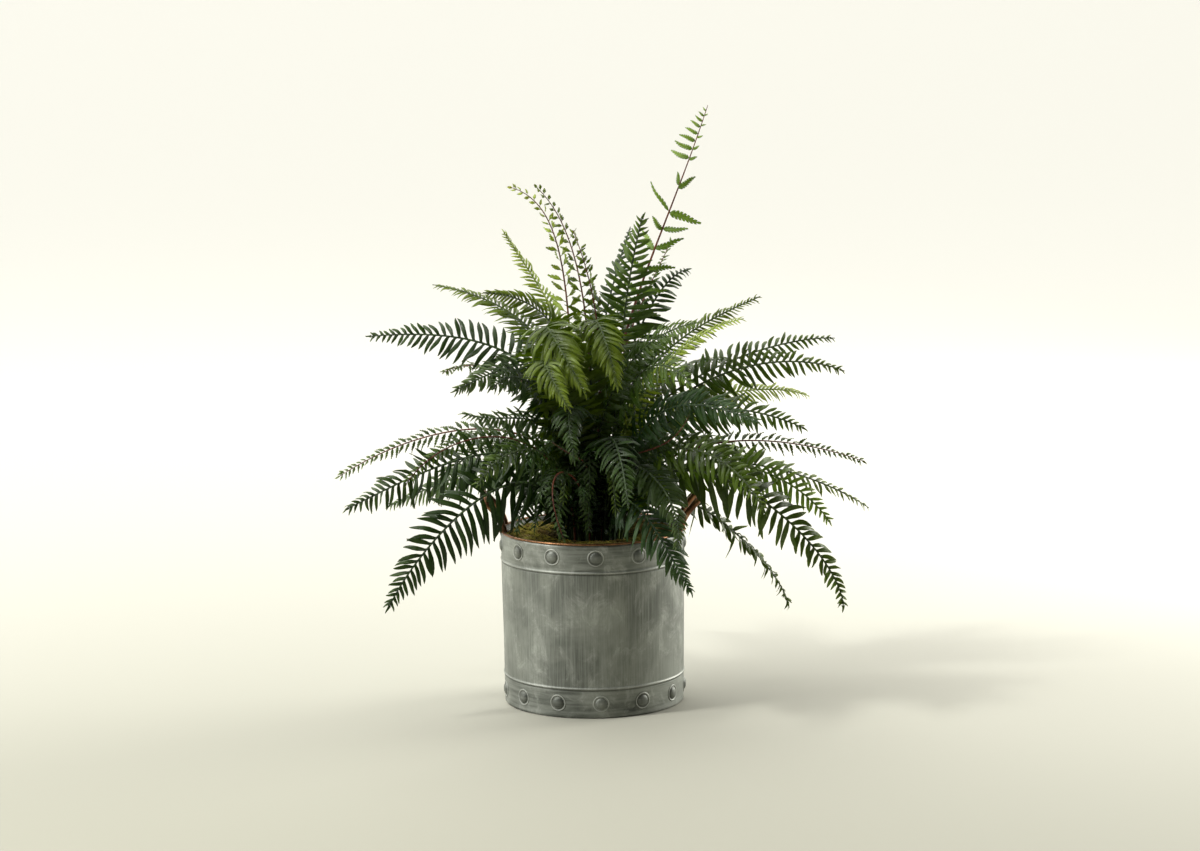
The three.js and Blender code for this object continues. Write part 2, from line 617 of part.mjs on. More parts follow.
// The pot's wall and the two handles, for leaflets to keep clear of
function blockPot(obstacles) {
  const half = RIVET.rise + POT_ROOM.wall;
  for (let k = 0; k < POT.sides; k += 1) {
    const angle = (step) => (2 * Math.PI * (k + step)) / POT.sides;
    const at = (step, z) => new THREE.Vector3(Math.cos(angle(step)), Math.sin(angle(step)), 0)
      .multiplyScalar(potRadius(z))
      .setZ(z);
    const [a, b, c, d] = [at(0, 0), at(1, 0), at(1, POT.height), at(0, POT.height)];
    obstacles.add(new THREE.Triangle(a, b, c), half, "pot");
    obstacles.add(new THREE.Triangle(a, c, d), half, "pot");
  }
  const round = HANDLE.tube + POT_ROOM.handle;
  const reach = HANDLE_BAR.reach + round;
  const spread = HANDLE_BAR.spread + round;
  const inside = HANDLE_LEG.reach - POT_ROOM.insideLeg;
  const low = new THREE.Vector3(inside, -spread, POT.height - POT_ROOM.underRim);
  const high = new THREE.Vector3(reach, spread, HANDLE_BAR.height + round);
  obstacles.boxes.push(new THREE.Box3(low, high));
  const mirrored = new THREE.Box3(new THREE.Vector3(-reach, -spread, low.z), high.clone().setX(-low.x));
  obstacles.boxes.push(mirrored);
}

function growFronds() {
  const names = Object.keys(FRONDS);
  const rows = Object.values(FRONDS);
  const roots = placeRoots(rows);
  const fronds = names.map((name, k) => new Frond(`frond_${name}`, rows[k], roots[k]));
  const obstacles = new Obstacles();
  blockPot(obstacles);
  for (const frond of fronds) frond.blockStem(obstacles);
  for (const frond of fronds) frond.fitLeaflets(obstacles);
  return fronds;
}

const fern = new THREE.Group();

function addPart(name, geometry, finish) {
  const part = new THREE.Mesh(geometry, new THREE.MeshStandardMaterial(finish));
  part.name = name;
  fern.add(part);
  return part;
}

const fronds = growFronds();
addPart("pot", makePot(), ZINC);
addPart("copper_rim", makeRim(), COPPER);
addPart("handle_right", makeHandle(), COPPER);
addPart("handle_left", makeHandle(), COPPER).rotation.z = Math.PI;
addPart("potting_soil", makeSoil(fronds), EARTH);
addPart("moss", makeMoss(), GREEN_MOSS);
for (const frond of fronds) {
  const finish = { color: LEAF_COLOURS[frond.tint], roughness: 0.55, metalness: 0 };
  addPart(frond.name, frond.geometry(), finish);
}

export default fern;
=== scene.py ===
# Looks for a potted river fern: a banded zinc pot with copper trim, moss, soil and fronds.
# Sizes are in millimetres and become metres as a mesh is made. +X is right, -Y is the front.

import math

import bpy
import numpy as np
from mathutils import Matrix, Vector


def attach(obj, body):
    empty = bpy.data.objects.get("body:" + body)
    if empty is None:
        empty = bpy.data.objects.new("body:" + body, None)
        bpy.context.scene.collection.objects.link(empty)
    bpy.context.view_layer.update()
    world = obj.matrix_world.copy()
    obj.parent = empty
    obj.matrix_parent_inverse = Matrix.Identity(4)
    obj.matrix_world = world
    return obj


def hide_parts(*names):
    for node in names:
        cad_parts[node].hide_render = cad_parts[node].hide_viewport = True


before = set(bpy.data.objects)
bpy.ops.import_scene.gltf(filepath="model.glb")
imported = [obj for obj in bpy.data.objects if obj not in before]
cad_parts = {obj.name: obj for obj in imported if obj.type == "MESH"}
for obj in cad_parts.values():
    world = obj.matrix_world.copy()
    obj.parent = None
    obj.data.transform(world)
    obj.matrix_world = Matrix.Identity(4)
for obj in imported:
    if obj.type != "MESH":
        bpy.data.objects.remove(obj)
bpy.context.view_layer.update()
draw = np.random.default_rng(54)
print("frame loaded:", len(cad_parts), "CAD nodes")


# From 0 below low to 1 above high, with a smooth start and end: 3t^2 - 2t^3
def smoothStep(value, low, high):
    t = np.clip((value - low) / (high - low), 0, 1)
    return t * t * (3 - 2 * t)


def unit(vectors):
    return vectors / np.linalg.norm(vectors, axis=-1, keepdims=True)


def mix(first, second, share):
    return first + (second - first) * share


# Turns in radians, evenly spaced round a circle
def evenTurns(count):
    return np.arange(count) * 2 * math.pi / count


# Points at a distance from the Z axis, a turn about it and a height
def aboutAxis(radius, turn, height):
    radius, turn, height = np.broadcast_arrays(radius, turn, height)
    return np.stack([radius * np.cos(turn), radius * np.sin(turn), height], -1)


# Corner numbers of the quads between the lines of a grid whose columns close on themselves
def ringQuads(rows, columns):
    row, column = np.meshgrid(np.arange(rows - 1), np.arange(columns), indexing="ij")
    beside = (column + 1) % columns
    quads = [row * columns + column, row * columns + beside,
             (row + 1) * columns + beside, (row + 1) * columns + column]
    return np.stack(quads, -1).reshape(-1, 4)


# Triangles from a ring of points to one point that closes it
def ringFan(first, columns, point, flip=False):
    column = np.arange(columns)
    ring = [first + column, first + (column + 1) % columns]
    if flip:
        ring.reverse()
    return np.stack([*ring, np.full(columns, point)], -1)


# Fans that close the first and last ring of a grid, by the two points that follow the grid's own
def endFans(rows, columns, flip=False):
    return np.concatenate([ringFan(0, columns, rows * columns, not flip),
                           ringFan((rows - 1) * columns, columns, rows * columns + 1, flip)])


# The same faces again for each of many copies that follow each other in the list of points
def repeatFaces(faces, copies, pointsEach):
    shifts = np.arange(copies)[:, None, None] * pointsEach
    return (faces[None] + shifts).reshape(-1, faces.shape[1])


# Puts points and faces into a mesh that rides on the part and stands for CAD nodes. marks are
# numbers kept on the points for the materials, and creases are points whose joining edges stay
# sharp.
def makePiece(name, points, faceSets, material, nodes, uv=None, marks=None, creases=None):
    corners = np.concatenate([faces.reshape(-1) for faces in faceSets]).astype(np.int32)
    sizes = np.concatenate([np.full(len(faces), faces.shape[1]) for faces in faceSets])
    starts = np.concatenate([[0], np.cumsum(sizes)[:-1]]).astype(np.int32)
    mesh = bpy.data.meshes.new(name)
    mesh.vertices.add(len(points))
    mesh.vertices.foreach_set("co", (points * 0.001).astype(np.float32).ravel())
    mesh.loops.add(len(corners))
    mesh.loops.foreach_set("vertex_index", corners)
    mesh.polygons.add(len(sizes))
    mesh.polygons.foreach_set("loop_start", starts)
    mesh.update(calc_edges=True)
    mesh.polygons.foreach_set("use_smooth", np.ones(len(sizes), bool))
    if uv is not None:
        layer = mesh.uv_layers.new(name="surface")
        layer.data.foreach_set("uv", uv[corners].astype(np.float32).ravel())
    for mark, values in (marks or {}).items():
        attribute = mesh.attributes.new(mark, "FLOAT", "POINT")
        attribute.data.foreach_set("value", values.astype(np.float32))
    if creases is not None:
        ends = np.empty(len(mesh.edges) * 2, np.int32)
        mesh.edges.foreach_get("vertices", ends)
        attribute = mesh.attributes.new("sharp_edge", "BOOLEAN", "EDGE")
        attribute.data.foreach_set("value", creases[ends.reshape(-1, 2)].all(1))
    mesh.materials.append(material)
    mesh.update()
    piece = bpy.data.objects.new(name, mesh)
    bpy.context.scene.collection.objects.link(piece)
    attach(piece, "root")
    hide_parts(*nodes)
    return piece


# Materials

# A paint colour from its 0 to 255 screen values, as the linear numbers that shaders take
def paint(red, green, blue):
    share = np.array([red, green, blue]) / 255
    linear = np.where(share <= 0.04045, share / 12.92, ((share + 0.055) / 1.055) ** 2.4)
    return (*linear.tolist(), 1.0)


def newMaterial(name):
    material = bpy.data.materials.new(name)
    material.use_nodes = True
    tree = material.node_tree
    tree.nodes.clear()
    return material, tree


# Adds a node. Each input is a number, a colour or the socket that feeds it
def addNode(tree, kind, inputs=None, **settings):
    node = tree.nodes.new(kind)
    for key, value in settings.items():
        setattr(node, key, value)
    for key, value in (inputs or {}).items():
        if isinstance(value, bpy.types.NodeSocket):
            tree.links.new(value, node.inputs[key])
        else:
            node.inputs[key].default_value = value
    return node


# The third number is added by MULTIPLY_ADD alone
def mathNode(tree, operation, first, second=0.0, third=0.0, clamp=False):
    inputs = {0: first, 1: second, 2: third}
    return addNode(tree, "ShaderNodeMath", inputs, operation=operation, use_clamp=clamp).outputs[0]


# A smooth step from one range of numbers to another
def mapRange(tree, value, fromLow, fromHigh, toLow=0.0, toHigh=1.0):
    inputs = {"Value": value, "From Min": fromLow, "From Max": fromHigh, "To Min": toLow, "To Max": toHigh}
    node = addNode(tree, "ShaderNodeMapRange", inputs, interpolation_type="SMOOTHSTEP")
    return node.outputs["Result"]


# Two numbers, each times its own share, added up
def addShares(tree, first, firstShare, second, secondShare, clamp=False):
    parts = [mathNode(tree, "MULTIPLY", first, firstShare), mathNode(tree, "MULTIPLY", second, secondShare)]
    return mathNode(tree, "ADD", *parts, clamp=clamp)


# From the first colour towards the second, by a share times the most that it may go
def mixColours(tree, share, first, second, most=None):
    if most is not None:
        share = mathNode(tree, "MULTIPLY", share, most)
    return addNode(tree, "ShaderNodeMix", {0: share, 6: first, 7: second}, data_type="RGBA").outputs[2]


# Noise in the piece's own coordinates, stretched by a scale for each axis, in features a metre
def noise(tree, scale, detail=3.0, roughness=0.55, distortion=0.0):
    place = addNode(tree, "ShaderNodeTexCoord").outputs["Object"]
    stretched = addNode(tree, "ShaderNodeMapping", {"Vector": place, "Scale": scale})
    inputs = {"Vector": stretched.outputs[0], "Scale": 1.0, "Detail": detail}
    inputs.update({"Roughness": roughness, "Distortion": distortion})
    return addNode(tree, "ShaderNodeTexNoise", inputs).outputs[0]


def mark(tree, name):
    return addNode(tree, "ShaderNodeAttribute", attribute_name=name).outputs["Fac"]


def bump(tree, height, strength, distance):
    inputs = {"Height": height, "Strength": strength, "Distance": distance}
    return addNode(tree, "ShaderNodeBump", inputs).outputs[0]


def finishMaterial(tree, inputs):
    shader = addNode(tree, "ShaderNodeBsdfPrincipled", inputs)
    addNode(tree, "ShaderNodeOutputMaterial", {"Surface": shader.outputs[0]})


zincLook = {
    "dark": paint(88, 92, 86), "middle": paint(134, 138, 130), "pale": paint(176, 180, 172),
    "bloomAndHighlight": paint(206, 209, 202), "paintedShade": paint(64, 67, 60),
    "clouds": (15, 15, 12), "streaks": (560, 560, 9), "fineStreaks": (1500, 1500, 40),
    "bandStrokes": (16, 16, 210), "spots": (34, 34, 24), "speckle": (420, 420, 320),
    "grain": (900, 900, 900),
    "strokeShare": 0.44, "spotShare": 0.62, "paintedHighlightShare": 0.26, "paintedShadeShare": 0.7,
    "metal": 0.5, "gloss": (0.46, 0.60),
}


# Zinc: cloudy grey, brushed upright on the wall and round in the bands, with pale bloom in patches,
# painted shade beside the raised lines and a painted highlight on them
def makeZinc():
    look = zincLook
    material, tree = newMaterial("weathered zinc")
    clouds = mapRange(tree, noise(tree, look["clouds"], 5, 0.62, 0.4), 0.34, 0.68)
    upright = noise(tree, look["streaks"], 3, 0.6)
    fine = noise(tree, look["fineStreaks"], 2, 0.5)
    level = noise(tree, look["bandStrokes"], 4, 0.6, 0.3)
    brushed = addShares(tree, upright, 0.65, fine, 0.35)
    strokes = addNode(tree, "ShaderNodeMix", {0: mark(tree, "band"), 2: brushed, 3: level}).outputs[0]
    strokes = mapRange(tree, strokes, 0.3, 0.7)
    grey = mixColours(tree, clouds, look["dark"], look["middle"])
    grey = mixColours(tree, strokes, grey, look["pale"], look["strokeShare"])
    spots = mapRange(tree, noise(tree, look["spots"], 8, 0.74, 0.6), 0.48, 0.72)
    speckle = mapRange(tree, noise(tree, look["speckle"], 4, 0.7), 0.5, 0.75)
    spots = mathNode(tree, "MULTIPLY", spots, mathNode(tree, "MULTIPLY_ADD", speckle, 0.5, 0.6))
    # painted highlight: the raised lines and rivet rings are mixed towards the pale bloom colour
    crest = mark(tree, "crest")
    bloomAndHighlight = addShares(tree, spots, look["spotShare"], crest, look["paintedHighlightShare"], clamp=True)
    grey = mixColours(tree, bloomAndHighlight, grey, look["bloomAndHighlight"])
    # painted shade: beside the raised lines and in the rivets' hollows and domes the grey goes towards a dark
    # colour
    grey = mixColours(tree, mark(tree, "paintedShade"), grey, look["paintedShade"], look["paintedShadeShare"])
    metal = mapRange(tree, bloomAndHighlight, 0.0, 1.0, look["metal"], look["metal"] * 0.45)
    gloss = mapRange(tree, strokes, 0.0, 1.0, *look["gloss"])
    grain = noise(tree, look["grain"], 2, 0.6)
    relief = addShares(tree, strokes, 0.6, grain, 0.4)
    finishMaterial(tree, {"Base Color": grey, "Metallic": metal, "Roughness": gloss,
                          "Normal": bump(tree, relief, 0.22, 0.0006)})
    return material


copperLook = {
    "dark": paint(88, 60, 40), "warm": paint(142, 102, 70), "bright": paint(206, 160, 124),
    "patches": (60, 60, 60), "scuffs": (260, 260, 90), "scuffShare": 0.5,
    "metal": 0.9, "gloss": (0.48, 0.32),
}


# Copper: brown where it has aged, brighter on its scuffs
def makeCopper():
    look = copperLook
    material, tree = newMaterial("aged copper")
    patches = mapRange(tree, noise(tree, look["patches"], 4, 0.6, 0.5), 0.35, 0.66)
    brown = mixColours(tree, patches, look["dark"], look["warm"])
    scuffs = mapRange(tree, noise(tree, look["scuffs"], 4, 0.65), 0.52, 0.72)
    brown = mixColours(tree, scuffs, brown, look["bright"], look["scuffShare"])
    gloss = mapRange(tree, patches, 0.0, 1.0, *look["gloss"])
    finishMaterial(tree, {"Base Color": brown, "Metallic": look["metal"], "Roughness": gloss,
                          "Normal": bump(tree, scuffs, 0.15, 0.0004)})
    return material


mossLook = {
    "brown": paint(92, 66, 28), "olive": paint(112, 104, 24), "bright": paint(160, 152, 48),
    "shade": paint(44, 38, 14),
    "patches": (42, 42, 42), "brownShare": 0.75, "fuzz": (1500, 1500, 1500), "roughness": 0.92,
}


# Moss: each strand has its own mix of brown, olive and yellow green, with painted shade low down
def makeMossMaterial():
    look = mossLook
    material, tree = newMaterial("stringy moss")
    patches = mapRange(tree, noise(tree, look["patches"], 3, 0.6, 0.6), 0.38, 0.64)
    green = mixColours(tree, mark(tree, "shade"), look["olive"], look["bright"])
    colour = mixColours(tree, patches, green, look["brown"], look["brownShare"])
    # painted shade: the lower the strand or the mat, the more it goes towards a dark colour
    low = mathNode(tree, "SUBTRACT", 1.0, mark(tree, "height"), clamp=True)
    colour = mixColours(tree, low, colour, look["shade"])
    fuzz = noise(tree, look["fuzz"], 3, 0.6)
    finishMaterial(tree, {"Base Color": colour, "Roughness": look["roughness"],
                          "Normal": bump(tree, fuzz, 0.5, 0.0008)})
    return material


soilLook = {
    "dark": paint(24, 18, 12), "brown": paint(62, 46, 30), "fleck": paint(112, 88, 58),
    "patches": (140, 140, 140), "crumbs": (700, 700, 700), "fleckShare": 0.6, "roughness": 0.95,
}


# Potting mix: dark crumbs with brown patches and pale flecks of bark
def makeSoilMaterial():
    look = soilLook
    material, tree = newMaterial("potting mix")
    patches = mapRange(tree, noise(tree, look["patches"], 5, 0.65), 0.36, 0.66)
    colour = mixColours(tree, patches, look["dark"], look["brown"])
    flecks = mapRange(tree, mark(tree, "shade"), 0.72, 0.95)
    colour = mixColours(tree, flecks, colour, look["fleck"], look["fleckShare"])
    crumbs = noise(tree, look["crumbs"], 4, 0.7)
    finishMaterial(tree, {"Base Color": colour, "Roughness": look["roughness"],
                          "Normal": bump(tree, crumbs, 0.8, 0.0012)})
    return material


# Leaf colours: low is the blade in shade, high the fresher leaflets, tip the frond's tip, through
# the light that passes a blade, and rib the line along its middle
leafLooks = {
    "deep": {"low": paint(18, 33, 10), "high": paint(56, 82, 28), "tip": paint(74, 100, 38),
             "through": paint(96, 130, 32), "rib": paint(62, 86, 36)},
    "green": {"low": paint(30, 46, 14), "high": paint(84, 110, 36), "tip": paint(110, 136, 46),
              "through": paint(128, 158, 38), "rib": paint(78, 98, 42)},
    "olive": {"low": paint(28, 46, 6), "high": paint(118, 142, 30), "tip": paint(146, 166, 52),
              "through": paint(160, 182, 36), "rib": paint(84, 104, 34)},
    "darkOlive": {"low": paint(34, 48, 12), "high": paint(96, 118, 36), "tip": paint(114, 138, 44),
                  "through": paint(136, 162, 38), "rib": paint(78, 96, 38)},
    "sage": {"low": paint(72, 98, 34), "high": paint(146, 174, 74), "tip": paint(160, 186, 80),
             "through": paint(170, 198, 60), "rib": paint(136, 158, 80)},
    "lime": {"low": paint(98, 124, 30), "high": paint(168, 190, 64), "tip": paint(198, 212, 96),
             "through": paint(206, 218, 90), "rib": paint(190, 200, 116)},
    "blue": {"low": paint(28, 50, 26), "high": paint(80, 112, 60), "tip": paint(92, 120, 64),
             "through": paint(96, 132, 50), "rib": paint(84, 110, 66)},
    "grey": {"low": paint(38, 56, 28), "high": paint(96, 120, 66), "tip": paint(114, 136, 76),
             "through": paint(124, 150, 60), "rib": paint(104, 124, 78)},
}
lacyStem = (paint(72, 34, 22), paint(116, 64, 38))  # its darker and brighter bark
# How far each change of colour goes, with painted shade deep in the crown and at the leaflets' feet,
# and the blade's relief, gloss and share of light let through
leafFinish = {
    "clouds": (95, 95, 95), "leafletShare": 0.7, "cloudShare": 0.3, "tipShare": 0.7,
    "crownShadeShare": 0.75, "footShadeShare": 0.8, "edgeShare": 0.5, "ribShare": 0.55,
    "crownShade": paint(8, 14, 6), "veins": 11.0, "slant": 2.6, "veinDepth": 0.35, "ribDepth": 1.2,
    "gloss": 0.25, "dullest": 0.14, "stemDull": 0.25, "specular": 0.32, "through": 0.32,
}


# A leaf blade: its colour runs from low to high by leaflet and cloudiness, with a few leaflets past
# high as painted light through them. It is paler at the rib and towards the frond's tip and darker at
# its edges, with painted shade low on the frond and at each leaflet's foot. Veins leave the rib at a
# slant, as a sine of the way along less the way out, and some of the light passes through. Stems have
# colours of their own.
def makeLeafMaterial(kind, tint):
    look, finish = leafLooks[tint], leafFinish
    material, tree = newMaterial(f"{kind} leaf {tint}")
    surface = addNode(tree, "ShaderNodeUVMap", uv_map="surface").outputs[0]
    parts = addNode(tree, "ShaderNodeSeparateXYZ", {0: surface})
    along = parts.outputs[0]
    out = mathNode(tree, "ABSOLUTE", mathNode(tree, "MULTIPLY_ADD", parts.outputs[1], 2.0, -1.0))
    upFrond, stem = mark(tree, "along"), mark(tree, "stem")
    clouds = mapRange(tree, noise(tree, finish["clouds"], 3, 0.6, 0.3), 0.3, 0.7)
    shade = mark(tree, "shade")
    # tone by leaflet and cloudiness; a leaflet's shade past 1 is painted light beyond the high colour
    toneAndPaintedLight = addShares(tree, shade, finish["leafletShare"], clouds, finish["cloudShare"], clamp=True)
    colour = mixColours(tree, toneAndPaintedLight, look["low"], look["high"])
    colour = mixColours(tree, mapRange(tree, upFrond, 0.55, 1.0), colour, look["tip"], finish["tipShare"])
    # painted shade deep in the crown: the low part of each frond goes towards a darker colour
    inner = mapRange(tree, upFrond, 0.0, 0.4, finish["crownShadeShare"], 0.0)
    colour = mixColours(tree, inner, colour, mixColours(tree, 0.55, look["low"], finish["crownShade"]))
    # painted shade at each leaflet's foot by the stem, and a darker edge
    foot = mapRange(tree, along, 0.0, 0.6, finish["footShadeShare"], 0.0)
    edge = mapRange(tree, out, 0.62, 1.0, 0.0, finish["edgeShare"])
    colour = mixColours(tree, mathNode(tree, "MAXIMUM", foot, edge), colour, look["low"])
    rib = mapRange(tree, out, 0.04, 0.16, finish["ribShare"], 0.0)
    colour = mixColours(tree, rib, colour, look["rib"])
    slant = mathNode(tree, "MULTIPLY", out, -finish["slant"])
    lines = mathNode(tree, "MULTIPLY_ADD", along, finish["veins"], slant)
    veins = mathNode(tree, "SINE", mathNode(tree, "MULTIPLY", lines, 2 * math.pi))
    veins = mapRange(tree, veins, -0.2, 1.0)
    low, high = (look["low"], look["rib"]) if kind == "sword" else lacyStem
    bark = mapRange(tree, noise(tree, (300, 300, 120), 3, 0.6), 0.35, 0.7)
    colour = mixColours(tree, stem, colour, mixColours(tree, bark, low, high))
    relief = addShares(tree, rib, -finish["ribDepth"], veins, -finish["veinDepth"])
    normal = bump(tree, relief, 0.5, 0.0006)
    gloss = mapRange(tree, clouds, 0.0, 1.0, finish["gloss"], finish["gloss"] + finish["dullest"])
    gloss = mathNode(tree, "ADD", gloss, mathNode(tree, "MULTIPLY", stem, finish["stemDull"]))
    shader = addNode(tree, "ShaderNodeBsdfPrincipled", {
        "Base Color": colour, "Roughness": gloss, "Normal": normal,
        "Specular IOR Level": finish["specular"]})
    through = addNode(tree, "ShaderNodeBsdfTranslucent", {"Color": look["through"], "Normal": normal})
    bladeOnly = mathNode(tree, "MULTIPLY", mathNode(tree, "SUBTRACT", 1.0, stem, clamp=True),
                         finish["through"])
    both = addNode(tree, "ShaderNodeMixShader", {0: bladeOnly, 1: shader.outputs[0], 2: through.outputs[0]})
    addNode(tree, "ShaderNodeOutputMaterial", {"Surface": both.outputs[0]})
    return material


zinc = makeZinc()
copper = makeCopper()
mossMaterial = makeMossMaterial()
soilMaterial = makeSoilMaterial()
print("materials made")

# Pot. foot and floor are radius and height, from the middle of the base outwards and from the
# foot of the inside inwards.
pot = {
    "height": 228, "topRadius": 120, "baseRadius": 117.4, "wall": 1.4, "edge": 225, "insideFoot": 3.5,
    "foot": [(4, 0), (60, 0), (112, 0), (115.6, 0.15), (116.9, 0.55)],
    "floor": [(112, 1.8), (60, 1.6), (4, 1.6)],
    "bandHeight": 38.5, "beadRise": 1.1, "beadHalf": 1.25, "beadZone": 5, "groove": 0.4,
    "columns": 264, "wobble": 0.175,
    "dent": {"turn": 294, "height": 13, "wide": 8, "high": 5, "deep": 2.2, "radius": 118, "beyond": 114},
}


def potRadius(z):
    return mix(pot["baseRadius"], pot["topRadius"], z / pot["height"])


# How far the outside stands off the plain cone at a height: a bell curve for each bead, with a
# narrower one taken away just below it
def beadProfile(z):
    beads = np.array([pot["bandHeight"], pot["height"] - pot["bandHeight"]])
    above = (z[:, None] - beads) / pot["beadHalf"]
    crest = np.exp(-above ** 2).sum(1)
    groove = np.exp(-((above + 1.9) / 0.7) ** 2).sum(1)
    return crest, groove


# The outside, edge, inside and floor are one profile of radius and height, turned about Z. The
# outside wobbles by three sines of turn and height, as hand-beaten sheet does, and has one small
# dent, a bell curve both ways.
def makePot():
    turns = evenTurns(pot["columns"])
    edge, zone = pot["edge"], pot["beadZone"]
    lower, upper = pot["bandHeight"], pot["height"] - pot["bandHeight"]
    levels = np.unique(np.concatenate([
        np.linspace(1.2, lower - zone, 16), np.linspace(lower - zone, lower + zone, 25),
        np.linspace(lower + zone, upper - zone, 22), np.linspace(upper - zone, upper + zone, 25),
        np.linspace(upper + zone, edge, 12)]).round(4))
    crest, groove = beadProfile(levels)
    outside = potRadius(levels) + pot["beadRise"] * crest - pot["groove"] * groove
    inside = np.linspace(edge, pot["insideFoot"], 12)
    foot, base = np.array(pot["foot"], float).T, np.array(pot["floor"], float).T
    radius = np.concatenate([foot[0], outside, potRadius(inside) - pot["wall"], base[0]])
    height = np.concatenate([foot[1], levels, inside, base[1]])
    rows, count = len(radius), len(turns)
    outer = slice(len(foot[0]), len(foot[0]) + len(levels))
    isOutside = np.zeros(rows)
    isOutside[outer] = smoothStep(levels, 0, 9) * smoothStep(-levels, -edge, 9 - edge)
    r, z = radius[:, None], height[:, None]
    wobble = np.sin(3 * turns + z / 41) + 0.6 * np.sin(7 * turns - z / 23)
    wobble = wobble + 0.4 * np.sin(12 * turns + z / 17)
    dent = pot["dent"]
    turned = (turns - math.radians(dent["turn"]) + math.pi) % (2 * math.pi) - math.pi
    across = turned * dent["radius"] / dent["wide"]
    inDent = np.exp(-across ** 2 - ((z - dent["height"]) / dent["high"]) ** 2)
    isWall = r > dent["beyond"]
    r = r + isOutside[:, None] * (pot["wobble"] * wobble) - isWall * dent["deep"] * inDent
    wall = aboutAxis(r, turns, z).reshape(-1, 3)
    ends = np.array([[0, 0, 0], [0, 0, base[1][-1]]], float)
    band = np.where((height < lower) | (height > upper), 1.0, 0.0)
    # the crest share is a painted highlight on the beads, and the groove share below each a painted shade
    crestHighlights, paintedShades = np.zeros(rows), np.zeros(rows)
    crestHighlights[outer], paintedShades[outer] = crest, groove
    spread = lambda values: np.concatenate([np.repeat(values, count), [0.0, 0.0]])
    heads = makeRivets(len(wall) + 2)
    marks = {key: np.concatenate([spread(values), heads["marks"][key]])
             for key, values in (("band", band), ("crest", crestHighlights), ("paintedShade", paintedShades))}
    points = np.concatenate([wall, ends, heads["points"]])
    fans = np.concatenate([endFans(rows, count), heads["fans"]])
    makePiece("zinc_pot", points, [ringQuads(rows, count), heads["quads"], fans], zinc, ["pot"],
              marks=marks)


# Rivets. out and high are the head's outline, crest its painted highlight and the last list its painted shade
rivet = {"count": 13, "inFromEdge": 19, "topTurn": 271.9, "baseTurn": 274.3, "columns": 28,
         "dome": 3.05, "behind": -0.9,
         "out": [1.6, 3.4, 5.0, 6.2, 7.0, 7.5, 8.2, 9.0, 9.7, 10.3, 10.9, 11.5],
         "high": [3.0, 2.8, 2.35, 1.75, 1.15, 0.35, -0.1, 0.25, 0.75, 0.72, 0.2, -0.6],
         "crest": [0.3, 0.1, 0.0, 0.0, 0.0, 0.0, 0.0, 0.5, 1.9, 1.7, 0.4, 0.0],
         "paintedShade": [0.45, 0.5, 0.55, 0.55, 0.65, 0.9, 1.0, 0.4, 0.0, 0.0, 0.7, 0.5]}


# Rivet heads: a dome in a raised ring, as height over distance from the middle, wrapped on the
# wall: the way across becomes a turn about Z. Each is closed behind the sheet.
def makeRivets(first):
    count, out, high = rivet["columns"], np.array(rivet["out"]), np.array(rivet["high"])
    around, even = evenTurns(count), evenTurns(rivet["count"])
    turns = np.concatenate([np.radians(rivet["topTurn"]) + even, np.radians(rivet["baseTurn"]) + even])
    levels = np.repeat([pot["height"] - rivet["inFromEdge"], rivet["inFromEdge"]], rivet["count"])
    z = levels[:, None, None] + out[:, None] * np.sin(around)
    radius = potRadius(z) + high[:, None]
    angle = turns[:, None, None] + out[:, None] * np.cos(around) / potRadius(levels)[:, None, None]
    heads = aboutAxis(radius, angle, z).reshape(len(turns), -1, 3)
    middle = lambda rise: aboutAxis(potRadius(levels) + rise, turns, levels)[:, None]
    heads = np.concatenate([heads, middle(rivet["dome"]), middle(rivet["behind"])], 1)
    each = heads.shape[1]
    quads = repeatFaces(ringQuads(len(out), count)[:, ::-1], len(turns), each) + first
    fans = repeatFaces(endFans(len(out), count, flip=True), len(turns), each) + first
    spread = lambda name: np.tile(np.concatenate([np.repeat(rivet[name], count), [0.1, 0.0]]), len(turns))
    marks = {"band": np.ones(each * len(turns)), "crest": spread("crest"), "paintedShade": spread("paintedShade")}
    return {"points": heads.reshape(-1, 3), "quads": quads, "fans": fans, "marks": marks}


makePot()
print("pot made")

# Copper rim and handles
rim = {"radius": 1.7, "flat": 0.8, "wobble": 0.12, "columns": 240, "around": 14}


# A rolled edge: a slightly flat ring section carried round the pot's edge, with nine slight waves
def makeRim():
    turns, around = evenTurns(rim["columns"]), evenTurns(rim["around"])
    middle = pot["topRadius"] - pot["wall"] / 2
    radius = middle + rim["radius"] * np.cos(around)[:, None] + rim["wobble"] * np.sin(9 * turns)
    z = pot["height"] - rim["radius"] * rim["flat"] * (1 - np.sin(around))[:, None]
    points = aboutAxis(radius, turns, z)
    points = np.concatenate([points, points[:1]]).reshape(-1, 3)
    quads = ringQuads(rim["around"] + 1, rim["columns"]) % (rim["around"] * rim["columns"])
    makePiece("rolled_copper_rim", points[:-rim["columns"]], [quads], copper, ["copper_rim"])


handle = {
    "tube": 4.0, "around": 18, "steps": 16, "foot": 228.3, "footFlare": 1.5, "footLength": 5,
    "half": [(115.5, 29, 228.3), (117, 29, 237.3), (124, 30, 251), (136, 30.5, 265), (141, 21.5, 271)],
}


